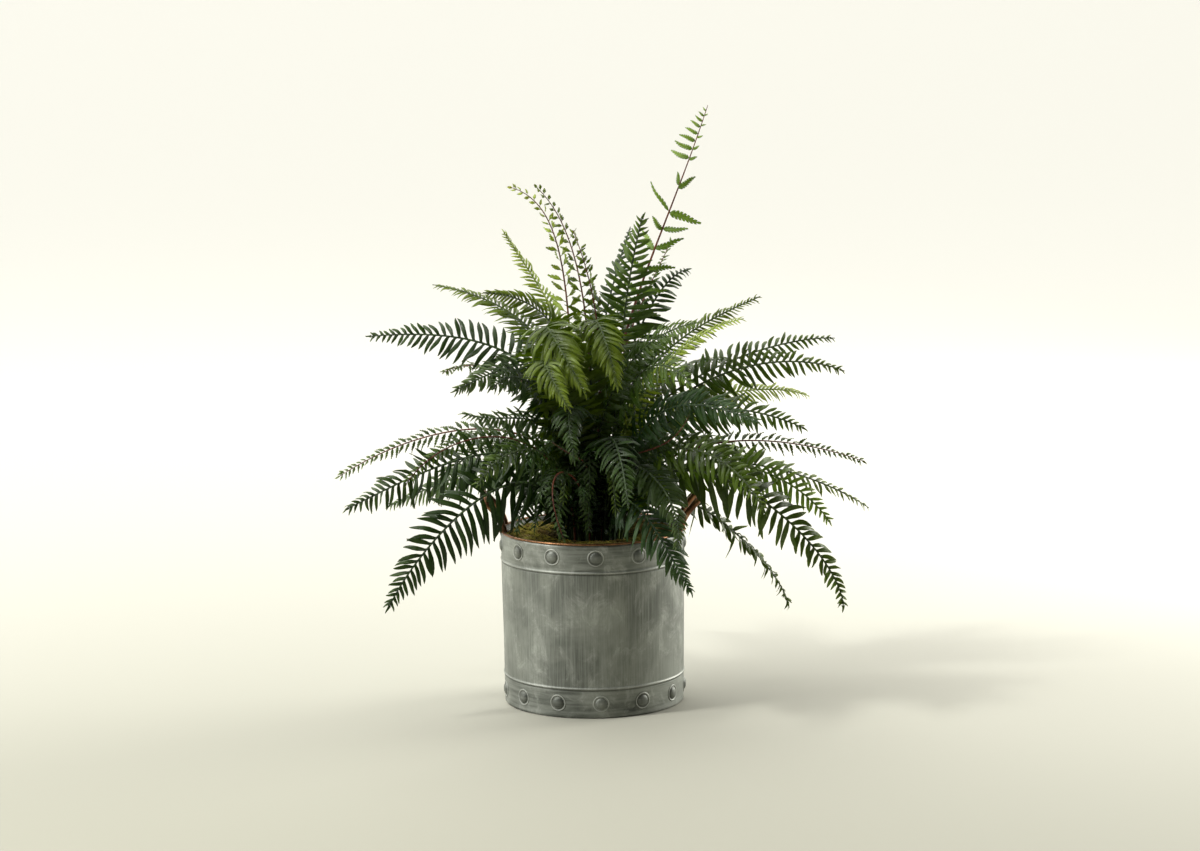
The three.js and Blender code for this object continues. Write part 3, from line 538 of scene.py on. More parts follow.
# A smooth line through points: for each four in a row, a cubic whose pace follows the square
# root of the distances, so that it keeps close to its corners
def smoothRoute(points, steps):
    points = np.array(points, float)
    first = 2 * points[0] - points[1]
    last = 2 * points[-1] - points[-2]
    points = np.concatenate([[first], points, [last]])
    route = []
    for k in range(1, len(points) - 2):
        p = points[k - 1:k + 3]
        t = np.concatenate([[0], np.cumsum(np.sqrt(np.linalg.norm(np.diff(p, axis=0), axis=1)))])
        at = np.linspace(t[1], t[2], steps, endpoint=False)[:, None]
        near = [((t[i + 1] - at) * p[i] + (at - t[i]) * p[i + 1]) / (t[i + 1] - t[i]) for i in range(3)]
        mid = [((t[i + 2] - at) * near[i] + (at - t[i]) * near[i + 1]) / (t[i + 2] - t[i])
               for i in range(2)]
        route.append(((t[2] - at) * mid[0] + (at - t[1]) * mid[1]) / (t[2] - t[1]))
    return np.concatenate([*route, points[-2:-1]])


# A round section carried along a route, square to it, closed at both ends by a flat fan
def makeTube(route, radii, around):
    forward = unit(np.gradient(route, axis=0))
    level = unit(np.cross(forward, np.cross([1.0, 0, 0.4], forward)))  # one way square to the tube
    other = np.cross(forward, level)
    turns = evenTurns(around)
    ring = level[:, None] * np.cos(turns)[:, None] + other[:, None] * np.sin(turns)[:, None]
    tube = route[:, None] + ring * radii[:, None, None]
    points = np.concatenate([tube.reshape(-1, 3), [route[0]], [route[-1]]])
    return points, ringQuads(len(route), around), endFans(len(route), around)


# Each handle is one tube over its route, a little wider at the two feet that sit on the rim
def makeHandles():
    for name, side in (("right", 1), ("left", -1)):
        half = np.array(handle["half"], float)
        path = np.concatenate([half * [1, -1, 1], half[::-1]]) * [side, side, 1]
        route = smoothRoute(path, handle["steps"])
        rise = route[:, 2] - handle["foot"]
        radii = handle["tube"] + handle["footFlare"] * np.exp(-(rise / handle["footLength"]) ** 2)
        points, quads, fans = makeTube(route, radii, handle["around"])
        makePiece(f"copper_handle_{name}", points, [quads, fans], copper, [f"handle_{name}"])


makeRim()
makeHandles()
print("copper rim and handles made")

# Soil and moss
soil = {"top": 212, "low": 1.7, "columns": 120, "rings": 34, "lumps": 0.55,
        "crumbs": 900, "crumbReach": 108, "crumbSize": (0.5, 2.2), "crumbShape": (0.5, 1.3)}


# The filling: a flat base, an upright side and a top that rises and falls by three sines, with
# loose crumbs, each a small eight-sided stone of its own turn and size
def makeSoil():
    turns = evenTurns(soil["columns"])
    side = potRadius(np.array([soil["low"], 70, 140, soil["top"]])) - pot["wall"] - 0.3
    radius = np.concatenate([[20, 80], side, np.linspace(side[-1] - 2, 3, soil["rings"])])
    z = np.concatenate([[soil["low"]] * 2, [soil["low"], 70, 140, soil["top"] - 0.6],
                        [soil["top"]] * soil["rings"]])
    inside = smoothStep(-radius, -side[-1] + 1, -side[-1] + 8) * (np.arange(len(radius)) > 5)
    lump = np.sin(5 * turns + radius[:, None] / 6) + np.cos(9 * turns - radius[:, None] / 4)
    x, y = radius[:, None] * np.cos(turns), radius[:, None] * np.sin(turns)
    lump = lump + np.sin(x / 3.1) * np.cos(y / 2.7)
    body = np.stack([x, y, z[:, None] + soil["lumps"] * inside[:, None] * lump], -1)
    count, rows = len(turns), len(radius)
    ends = np.array([[0, 0, soil["low"]], [0, 0, soil["top"]]])
    corners = np.array([[1, 0, 0], [0, 1, 0], [-1, 0, 0], [0, -1, 0], [0, 0, 1], [0, 0, -1]], float)
    sides = np.array([[0, 1, 4], [1, 2, 4], [2, 3, 4], [3, 0, 4],
                      [1, 0, 5], [2, 1, 5], [3, 2, 5], [0, 3, 5]])
    many = soil["crumbs"]
    away = soil["crumbReach"] * np.sqrt(draw.random(many))
    bearing = draw.random(many) * 2 * math.pi
    size = draw.uniform(*soil["crumbSize"], (many, 1)) * draw.uniform(*soil["crumbShape"], (many, 3))
    spin = np.linalg.qr(draw.normal(size=(many, 3, 3)))[0]
    spin *= np.sign(np.linalg.det(spin))[:, None, None]
    stones = np.einsum("nij,nkj->nki", spin, corners[None] * size[:, None])
    centre = aboutAxis(away, bearing, soil["top"] + 0.6)
    stones = (stones + centre[:, None]).reshape(-1, 3)
    first = rows * count + 2
    stoneFaces = repeatFaces(sides, many, 6) + first
    points = np.concatenate([body.reshape(-1, 3), ends, stones])
    shade = np.concatenate([np.zeros(first), np.repeat(draw.random(many), 6)])
    faces = [ringQuads(rows, count), np.concatenate([endFans(rows, count), stoneFaces])]
    makePiece("soil_filling", points, faces, soilMaterial, ["potting_soil"], marks={"shade": shade})


moss = {"inner": 66, "outer": 117, "low": 212.4, "top": 219.5, "rows": 20, "columns": 220,
        "strands": 4300, "strandsFrom": 46, "length": (7, 17), "thick": (0.28, 0.55),
        "taper": [0.6, 1, 1, 0.8, 0.35], "curl": 3.2, "lift": 4.5, "lumps": 0.9, "inRagged": 3.5}


# Moss: a lumpy mat, whose height is four waves round and across, and curled strands over it.
# A strand starts on the mat and leaves along a bearing, and swings and rises by two sines.
def makeMoss():
    turns = evenTurns(moss["columns"])
    across = np.linspace(0, 1, moss["rows"])
    radius = mix(moss["inner"], moss["outer"], across)[:, None]
    hump = np.sin(np.pi * np.clip(across * 1.15, 0, 1)) ** 0.45
    hump[-1], hump[0] = 0.35, 0.0
    lump = (np.sin(7 * turns + radius / 9) + np.cos(11 * turns - radius / 7)
            + 0.7 * np.sin(23 * turns + radius / 3.1) + 0.5 * np.cos(41 * turns - radius / 2.2))
    height = moss["low"] + hump[:, None] * (moss["top"] - moss["low"] + moss["lumps"] * lump)
    inner = radius - moss["inRagged"] * (across[:, None] == 0) * (1 + np.sin(9 * turns))
    base = aboutAxis(np.array([moss["outer"], moss["inner"]])[:, None], turns, moss["low"])
    mat = np.concatenate([aboutAxis(inner, turns, height), base])
    rows, count = len(mat), len(turns)
    lastRing = ringQuads(2, count)[:, ::-1]
    lastRing = lastRing % count + np.where(lastRing >= count, 0, (rows - 1) * count)
    quads = np.concatenate([ringQuads(rows, count)[:, ::-1], lastRing])
    many, taper = moss["strands"], np.array(moss["taper"])
    rings = len(taper)
    bearing = draw.random(many)[:, None] * 2 * math.pi
    away = np.sqrt(draw.uniform(moss["strandsFrom"] ** 2, (moss["outer"] - 3) ** 2, many))[:, None]
    heading = draw.random(many)[:, None] * 2 * math.pi
    length = draw.uniform(*moss["length"], many)
    step = np.linspace(0, 1, rings)
    curl = draw.uniform(-moss["curl"], moss["curl"], (many, 1))
    swing = curl * np.sin(math.pi * step * draw.uniform(0.7, 1.6, (many, 1)))
    lift = draw.uniform(0.2, 1, (many, 1)) * moss["lift"]
    rise = lift * np.sin(math.pi * step * draw.uniform(0.7, 1.0, (many, 1)))
    run = (step - 0.3) * length[:, None]
    x = away * np.cos(bearing) + run * np.cos(heading) - swing * np.sin(heading)
    y = away * np.sin(bearing) + run * np.sin(heading) + swing * np.cos(heading)
    far = np.hypot(x, y)
    keep = np.minimum(1, (moss["outer"] - 1.2) / far)
    start = moss["top"] - 2.2 + draw.uniform(-1.2, 1.4, (many, 1))
    lower = 4 * smoothStep(-far, -moss["inner"], -moss["inner"] + 12)
    route = np.stack([x * keep, y * keep, start + rise - lower], -1)
    forward = unit(np.gradient(route, axis=1))
    side = unit(np.cross(forward, [0.2, 0.1, 1.0]))
    up = np.cross(side, forward)
    corner = evenTurns(3)
    thick = draw.uniform(*moss["thick"], many)[:, None] * taper
    ring = side[:, :, None] * np.cos(corner)[:, None] + up[:, :, None] * np.sin(corner)[:, None]
    strands = (route[:, :, None] + ring * thick[:, :, None, None]).reshape(many, -1, 3)
    strandQuads = repeatFaces(ringQuads(rings, 3)[:, ::-1], many, rings * 3) + rows * count
    ends = np.array([[0, 1, 2], [rings * 3 - 1, rings * 3 - 2, rings * 3 - 3]])
    strandEnds = repeatFaces(ends, many, rings * 3) + rows * count
    points = np.concatenate([mat.reshape(-1, 3), strands.reshape(-1, 3)])
    shade = np.concatenate([np.full(rows * count, 0.2), np.repeat(draw.random(many), rings * 3)])
    # the height share that the moss material turns into painted shade low down
    bright = np.clip((points[:, 2] - moss["low"] - 1.5) / 6.5, 0, 1)
    makePiece("moss_mat", points, [np.concatenate([quads, strandQuads]), strandEnds],
              mossMaterial, ["moss"], marks={"shade": shade, "height": bright})


makeSoil()
makeMoss()
print("soil and moss made")

# Fronds: leaf style, tint, turn of the blade about its stem in degrees, longest leaflet, the
# bare share of the stem, and the points that it passes at a third, at two thirds and at its tip
fronds = {
    "left_high": ("sword", "deep", -68, 46, 0.32, (-40, 20, 380), (-135, 40, 465), (-295, 60, 475)),
    "left_low": ("sword", "deep", -62, 56, 0.24, (-90, -70, 300), (-190, -110, 245), (-260, -140, 150)),
    "left_mid": ("ragged", "deep", -64, 54, 0.24, (-79, -42, 328), (-203, -60, 318), (-317, -76, 268)),
    "left_under": ("fine", "grey", -60, 44, 0.24, (-75, 70, 291), (-176, 105, 281), (-277, 125, 236)),
    "left_lace": ("lace", "green", -55, 34, 0.28, (-60, 48, 325), (-186, 50, 349), (-337, 46, 289)),
    "left_grey": ("fine", "grey", -55, 46, 0.32, (-25, -30, 400), (-85, -90, 455), (-170, -190, 435)),
    "left_small": ("fine", "deep", -50, 36, 0.28, (-40, -55, 350), (-95, -115, 390), (-160, -165, 405)),
    "left_top": ("pleat", "olive", -20, 38, 0.32, (-27, 34, 376), (-85, 85, 485), (-210, 135, 535)),
    "left_lime": ("pleat", "lime", -10, 30, 0.32, (-10, 48, 390), (-50, 95, 505), (-115, 110, 610)),
    "left_olive": ("pleat", "olive", -60, 42, 0.32, (-15, -5, 385), (-50, -25, 500), (-135, -70, 545)),
    "arch_big": ("pleat", "olive", 20, 60, 0.32, (-35, -50, 405), (-55, -110, 505), (-5, -195, 430)),
    "arch_right": ("pleat", "olive", 12, 54, 0.32, (0, -20, 390), (5, -70, 505), (35, -160, 430)),
    "arch_light": ("pleat", "olive", 10, 48, 0.32, (-25, -70, 375), (-55, -145, 465), (-25, -225, 415)),
    "centre_blue": ("fine", "deep", 0, 44, 0.28, (-10, -50, 350), (-25, -125, 405), (-20, -200, 345)),
    "tall_dark": ("sword", "deep", 112, 56, 0.36, (30, -5, 365), (45, -15, 510), (70, -40, 640)),
    "tall_lace": ("tall", "green", 80, 34, 0.55, (30, 15, 415), (85, 15, 590), (155, 10, 775)),
    "top_lace_left": ("sprig", "green", -50, 30, 0.44, (-24, 38, 430), (-42, 55, 595), (-105, 60, 670)),
    "top_lace_mid": ("sprig", "green", -60, 30, 0.44, (0, 20, 425), (-20, 25, 583), (-70, 15, 675)),
    "top_lace_right": ("sprig", "deep", -110, 30, 0.44, (10, 5, 360), (10, -10, 490), (-20, -35, 620)),
    "right_top_dark": ("sword", "deep", 40, 50, 0.32, (30, 45, 375), (80, 95, 505), (135, 150, 550)),
    "right_top_olive": ("pleat", "olive", 40, 33, 0.32, (45, 25, 380), (130, 55, 475), (225, 80, 520)),
    "right_lime": ("pleat", "lime", 50, 25, 0.28, (45, -20, 360), (115, -50, 465), (195, -90, 510)),
    "right_arch": ("pleat", "olive", 70, 38, 0.32, (15, -35, 375), (70, -90, 475), (135, -170, 515)),
    "right_high": ("sword", "green", 50, 42, 0.28, (62, 74, 351), (202, 114, 436), (328, 140, 456)),
    "right_upper": ("sword", "green", 62, 42, 0.28, (70, 50, 348), (197, 52, 428), (334, 50, 423)),
    "right_back_lime": ("pleat", "lime", 45, 38, 0.24, (57, 82, 327), (180, 120, 385), (295, 160, 375)),
    "right_blue": ("fine", "blue", 60, 48, 0.32, (65, -65, 365), (140, -125, 405), (210, -180, 390)),
    "right_dark": ("sword", "deep", 55, 46, 0.28, (65, -30, 340), (160, -55, 390), (275, -75, 365)),
    "right_lace": ("lace", "green", 50, 34, 0.24, (90, 58, 300), (217, 64, 330), (363, 66, 299)),
    "right_edge": ("sword", "olive", 38, 38, 0.24, (98, 84, 286), (237, 115, 286), (373, 130, 226)),
    "right_face": ("sword", "olive", 70, 46, 0.24, (79, -48, 301), (198, -60, 316), (307, -70, 241)),
    "right_low": ("hook", "deep", 62, 46, 0.24, (119, -76, 314), (253, -106, 249), (318, -126, 139)),
    "right_low_back": ("curl", "olive", 45, 30, 0.24, (98, 80, 256), (205, 110, 185), (265, 130, 90)),
    "front_droop": ("fine", "blue", 38, 46, 0.24, (45, -75, 275), (90, -130, 230), (125, -155, 170)),
    "front_right": ("fine", "deep", 25, 44, 0.24, (40, -60, 315), (90, -130, 300), (105, -190, 235)),
    "front_lace": ("lace", "deep", -20, 34, 0.24, (-16, -76, 296), (-45, -150, 320), (-35, -205, 250)),
    "right_red_lace": ("lace", "deep", 70, 36, 0.24, (30, -40, 310), (78, -92, 345), (125, -125, 395)),
    "front_small_lace": ("lace", "deep", -60, 26, 0.24, (-2, -56, 300), (-15, -100, 335), (-50, -150, 365)),
    "back_low": ("sword", "deep", 0, 48, 0.24, (5, 100, 300), (10, 215, 300), (12, 310, 190)),
    "back_mid": ("sword", "blue", 15, 48, 0.28, (0, 70, 340), (-5, 185, 400), (-15, 320, 350)),
    "back_high": ("sword", "olive", -20, 46, 0.32, (10, 45, 380), (30, 110, 480), (50, 205, 510)),
    "back_left_low": ("sword", "green", 30, 48, 0.24, (-58, 98, 302), (-150, 180, 305), (-215, 260, 215)),
    "back_left_mid": ("lace", "green", 20, 42, 0.28, (-40, 76, 347), (-118, 152, 415), (-205, 255, 400)),
    "back_left_high": ("sword", "deep", 25, 46, 0.32, (-25, 50, 370), (-75, 125, 465), (-130, 215, 495)),
    "back_right_low": ("sword", "olive", -30, 48, 0.24, (75, 80, 305), (165, 170, 305), (240, 250, 210)),
    "back_right_mid": ("sword", "green", -20, 46, 0.28, (46, 76, 350), (128, 152, 420), (215, 260, 400)),
    "back_right_high": ("lace", "green", -15, 40, 0.32, (30, 40, 400), (75, 95, 525), (110, 160, 590)),
    "back_steep": ("sword", "deep", -10, 46, 0.32, (5, 34, 400), (30, 75, 535), (55, 125, 610)),
    "front_left": ("sword", "green", -50, 40, 0.24, (-40, -75, 320), (-95, -165, 355), (-140, -250, 325)),
    "front_mid": ("sword", "deep", 10, 42, 0.28, (14, -70, 335), (30, -170, 365), (45, -265, 300)),
    "front_left_high": ("sword", "deep", -60, 46, 0.32, (-42, -36, 365), (-85, -115, 440), (-120, -215, 440)),
    "front_right_high": ("sword", "green", 60, 44, 0.32, (35, -40, 380), (80, -120, 455), (125, -215, 440)),
    "right_front": ("sword", "deep", 55, 44, 0.24, (65, -60, 320), (145, -135, 345), (215, -205, 280)),
    "left_front": ("lace", "green", -60, 36, 0.28, (-56, -66, 330), (-148, -120, 365), (-233, -178, 315)),
}
# Looks of fronds that aren't plainly of their tint
frondLooks = {
    "tall_lace": "sage", "top_lace_left": "lime", "top_lace_mid": "olive", "top_lace_right": "olive",
    "tall_dark": "green", "left_small": "grey", "front_right": "grey", "right_low": "darkOlive",
    "right_low_back": "darkOlive", "right_face": "sage", "right_upper": "darkOlive",
    "right_dark": "green", "right_front": "darkOlive", "right_arch": "green",
}
roots = {"height": 190, "pull": 0.42, "reach": 38, "apart": 7.6, "turns": 200}


# Each root starts below the first third of its frond, and any two that are too close push each
# other apart by half of what is missing, over and over
def placeRoots():
    places = []
    for row in fronds.values():
        x, y = row[5][:2]
        away = math.hypot(x, y)
        share = min(roots["pull"] * away, roots["reach"]) / away
        places.append([x * share, y * share])
    for _ in range(roots["turns"]):
        for i, here in enumerate(places):
            for there in places[:i]:
                dx, dy = here[0] - there[0], here[1] - there[1]
                distance = math.hypot(dx, dy)
                if distance < roots["apart"]:
                    push = 0.5 * (roots["apart"] - distance) / distance
                    here[0] += dx * push
                    here[1] += dy * push
                    there[0] -= dx * push
                    there[1] -= dy * push
    return [(x, y, roots["height"]) for x, y in places]


# A frond's line is the cubic through its root and three points, walked at an even pace. left and
# up turn about it by the blade's turn, in full from where the leaflets start.
class FrondLine:
    def __init__(self, root, row):
        self.bare = row[4]
        self.turn = math.radians(row[2])
        t = np.linspace(0, 1, 1201)[:, None]
        weights = [(1 - 3 * t) * (2 - 3 * t) * (1 - t) / 2, 9 * t * (2 - 3 * t) * (1 - t) / 2,
                   -9 * t * (1 - 3 * t) * (1 - t) / 2, t * (1 - 3 * t) * (2 - 3 * t) / 2]
        self.points = sum(w * np.array(p, float) for w, p in zip(weights, (root, *row[5:8])))
        gone = np.linalg.norm(np.diff(self.points, axis=0), axis=1)
        self.walked = np.concatenate([[0], np.cumsum(gone)])
        self.length = self.walked[-1]
        self.walked /= self.length
        self.outward = self.points[-1] - self.points[0]

    def at(self, share):
        pick = lambda values: np.stack([np.interp(share, self.walked, values[:, k]) for k in range(3)], -1)
        place = pick(self.points)
        forward = unit(pick(np.gradient(self.points, axis=0)))
        level = unit(np.array([-self.outward[1], self.outward[0], 0.0]))
        left = unit(level - forward * (forward @ level)[..., None])
        up = np.cross(forward, left)
        twist = (self.turn * smoothStep(share, 0.05, self.bare))[..., None]
        return (place, forward, left * np.cos(twist) + up * np.sin(twist),
                up * np.cos(twist) - left * np.sin(twist))


# Outlines: half widths along a leaflet, as shares of its widest. The second row is for the
# short leaflets at a frond's tip, which run into each other at their feet.
plainOutline = {"along": np.array([0, 0.07, 0.2, 0.38, 0.56, 0.73, 0.88, 0.975]),
                "wide": np.array([[0.80, 0.62, 0.84, 1.0, 0.98, 0.80, 0.48, 0.14],
                                  [1.36, 1.30, 1.16, 1.0, 0.84, 0.64, 0.40, 0.14]]),
                "lean": np.zeros(8)}


# A lobed outline swells from its stalk and tapers as (1 - t^full)^0.75 to a point. Each lobe
# starts from its notch, and leans towards the leaflet's tip.
def lobedOutline(lobes, notch, stalk, foot, full):
    parts = np.array([0.0, 0.45, 0.8])
    along = stalk + (0.97 - stalk) * (np.arange(lobes)[:, None] + parts).ravel() / lobes
    rise = np.tile([1 - notch, 1.0, 0.94], lobes)
    t = (along - stalk) / (1 - stalk)
    wide = mix(foot, 1, smoothStep(t, 0, 0.24)) * (1 - t ** full) ** 0.75 * rise
    along = np.concatenate([[0, stalk * 0.8], along, [0.985]])
    wide = np.concatenate([[0.16, 0.13], wide, [0.10]])
    lean = np.concatenate([[0, 0], np.tile([0, 0.5, 0.9], lobes) * 0.5 / lobes, [0]])
    return {"along": along, "wide": np.stack([wide, wide]), "lean": lean}


outlines = {
    "plain": plainOutline,
    "lobed": lobedOutline(5, 0.5, 0.10, 0.4, 1.3),
    "fewLobes": lobedOutline(4, 0.42, 0.22, 0.3, 1.6),
    "toothed": lobedOutline(8, 0.6, 0.05, 0.75, 2.0),
}

# Leaf styles. Sizes are in millimetres and angles in degrees. A pair of angles is the middle
# and the spread of a bell-shaped draw, cut off at 1.8 times that, apart from sweep, which runs
# from the frond's foot to its tip.
leafStyles = {
    "sword": {"outline": "plain", "spacing": 10.4, "widest": 3.45, "long": 1.08, "sweep": (84, 56),
              "bend": (16, 9), "lift": (7, 7), "droop": (20, 10), "roll": (0, 9), "twist": (0, 18)},
    "ragged": {"outline": "plain", "spacing": 9.5, "widest": 3.4, "long": 1.08, "sweep": (84, 58),
               "bend": (16, 22), "lift": (10, 14), "droop": (26, 18), "roll": (0, 20), "twist": (0, 45)},
    "fine": {"outline": "plain", "spacing": 7.6, "widest": 3.2, "long": 1.0, "sweep": (80, 50),
             "bend": (18, 10), "lift": (8, 9), "droop": (26, 12), "roll": (0, 12), "twist": (0, 22)},
    "pleat": {"outline": "plain", "spacing": 6.8, "widest": 3.0, "long": 1.22, "sweep": (78, 48),
              "bend": (22, 7), "lift": (14, 6), "droop": (25, 8), "roll": (8, 8), "twist": (0, 18)},
    "hook": {"outline": "plain", "spacing": 10.6, "widest": 4.1, "long": 1.02, "sweep": (88, 60),
             "bend": (26, 20), "lift": (8, 10), "droop": (30, 16), "roll": (0, 14), "twist": (0, 34)},
    "curl": {"outline": "plain", "spacing": 7.4, "widest": 4.9, "long": 0.95, "sweep": (72, 50),
             "bend": (28, 20), "lift": (8, 14), "droop": (22, 16), "roll": (0, 24), "twist": (0, 60)},
    "lace": {"outline": "lobed", "spacing": 8.8, "widest": 5.0, "long": 0.95, "sweep": (76, 48),
             "bend": (14, 10), "lift": (10, 10), "droop": (20, 12), "roll": (0, 16), "twist": (0, 24)},
    "sprig": {"outline": "fewLobes", "spacing": 14, "widest": 6.4, "long": 1.2, "sweep": (66, 44),
              "bend": (26, 22), "lift": (12, 18), "droop": (16, 18), "roll": (0, 30), "twist": (0, 40)},
    "tall": {"outline": "toothed", "spacing": 12, "widest": 5.0, "long": 0.9, "sweep": (72, 45),
             "bend": (8, 5), "lift": (4, 5), "droop": (12, 6), "roll": (0, 8), "twist": (0, 10)},
    "under": {"outline": "plain", "spacing": 8.2, "widest": 3.3, "long": 1.0, "sweep": (80, 50),
              "bend": (18, 14), "lift": (10, 12), "droop": (30, 16), "roll": (0, 18), "twist": (0, 30)},
}
lacy = ("lace", "sprig", "tall")
# What all leaflets share. early and earlyLength are where the short ones start, as a share of the
# bare stem, and their length. The blade ends at last. shortest is a share of the longest and
# millimetres, and widestShare caps a half width by its length, low and high on the frond.
blade = {"fold": 0.72, "arch": 0.78, "wave": 0.55, "sickle": 0.034, "sag": 0.10, "thick": 0.26,
         "early": 0.5, "earlyLength": 0.6, "crowd": 0.3, "jitter": 0.06, "last": 0.985,
         "fewest": 7, "usual": 44, "shortest": (0.2, 9.0), "widestShare": (0.26, 0.46),
         "sweepJitter": 3.5, "waves": 3.4, "tip": 0.02}
# From 0 for the low colour to 1 for the high one; paintedLightShare of the leaflets are much paler, as
# painted light shining through them
leafShade = {"middle": 0.40, "spread": 0.24, "paintedLightShare": 0.04, "paler": 0.6, "most": 1.2}
# Half widths of a stem at its root, where the leaflets start and near its tip
stems = {"plain": (2.1, 1.8, 0.8), "lacy": (1.9, 1.6, 0.55), "around": 8, "step": 8}
section = np.array([1, 0.5, 0, -0.5, -1, 0])  # over the top from edge to edge, and back below
isTop = np.array([0, 1, 1, 1, 0, -1])

# The tall lacy stem's leaflets: millimetres from its tip, side, length, half width, sweep and
# lift in degrees. Toothed ones stand on one side near the tip, then bare stem with pairs.
tallLeaflets = [
    (8, 1, 7, 1.4, 62, 0), (15, 1, 10, 1.8, 66, 0), (22, 1, 13, 2.2, 70, 2),
    (30, 1, 17, 2.6, 74, 2), (39, 1, 20, 3.0, 78, 3), (49, 1, 24, 3.4, 82, 2),
    (60, 1, 27, 3.8, 86, 0), (72, 1, 28, 4.1, 92, -4), (14, -1, 6, 1.2, 45, 30),
    (28, -1, 8, 1.4, 45, 40), (44, -1, 10, 1.8, 48, 50), (60, -1, 12, 2.2, 50, 55),
    (74, -1, 14, 2.6, 52, 50), (110, 1, 20, 3.2, 34, -30), (114, -1, 29, 4.6, 30, 10),
    (146, 1, 50, 3.0, 50, 6), (147, -1, 43, 6.4, 76, 4), (170, -1, 36, 4.4, 58, 30),
    (172, 1, 24, 4.0, 55, 40), (198, -1, 42, 4.8, 48, 20), (200, 1, 34, 5.0, 62, -30),
    (226, -1, 36, 5.0, 62, 0), (230, 1, 36, 5.0, 66, 10), (256, -1, 38, 5.2, 66, 20),
    (260, 1, 34, 5.0, 60, 0), (288, -1, 36, 5.0, 70, -20), (292, 1, 36, 5.0, 66, 30),
    (318, -1, 34, 5.0, 66, 0), (322, 1, 34, 5.0, 66, 0),
]


# Where the leaflets stand on a frond: their shares of its line, sides, and lengths. Over the full
# blade, a sword's lengths swell and then fall about as 1 - f^1.9, and a lacy one's almost evenly.
# Leaflets start lower on the stem than the full blade does, with short ones.
def planLeaflets(line, styleName, longest):
    style = leafStyles[styleName]
    if styleName == "tall":
        back, side, length, half, sweep, lift = np.array(tallLeaflets, float).T
        return {"share": 1 - back / line.length, "side": side, "length": length, "half": half,
                "sweep": sweep, "even": 1 - back / 300, "lift": lift}
    foot, last = line.bare * blade["early"], blade["last"]
    pairs = max(blade["fewest"], round(line.length * (last - foot) / style["spacing"]))
    even = (np.arange(pairs) + 0.5) / pairs
    even = np.stack([even, np.clip(even + 0.45 / pairs, 0, last)], -1).ravel()
    side = np.append(np.tile([1.0, -1.0], pairs), 1.0)
    even = np.append(even, 1.0)
    share = np.clip(foot + (last - foot) * even * (1 + blade["crowd"] * (1 - even)), 0, 0.992)
    full = np.clip((share - line.bare) / (last - line.bare), 0, 1)
    if styleName in lacy:
        length = 1.04 - 0.88 * full ** 1.05
        half = 0.5 + 0.5 * (1 - full)
    else:
        length = mix(0.66, 1, smoothStep(full, 0, 0.25)) * np.clip(1 - 0.93 * full ** 1.9, 0.02, 1) ** 0.9
        half = np.clip(length, 0.1, 1) ** 0.42
    length = length * longest * style["long"]
    early = smoothStep(share, foot - 0.01, line.bare + 0.02)
    length = length * mix(blade["earlyLength"], 1, early)
    length = length * np.exp(draw.normal(0, blade["jitter"], len(even)))
    length = np.maximum(length, max(blade["shortest"][0] * longest, blade["shortest"][1]))
    half = style["widest"] * (longest / blade["usual"]) ** 0.6 * half
    half = np.minimum(half, length * mix(*blade["widestShare"], full))
    sweep = mix(*style["sweep"], full)
    sweep[-1] = 1
    return {"share": share, "side": side, "length": length, "half": half, "sweep": sweep,
            "even": full, "lift": np.zeros(len(even))}


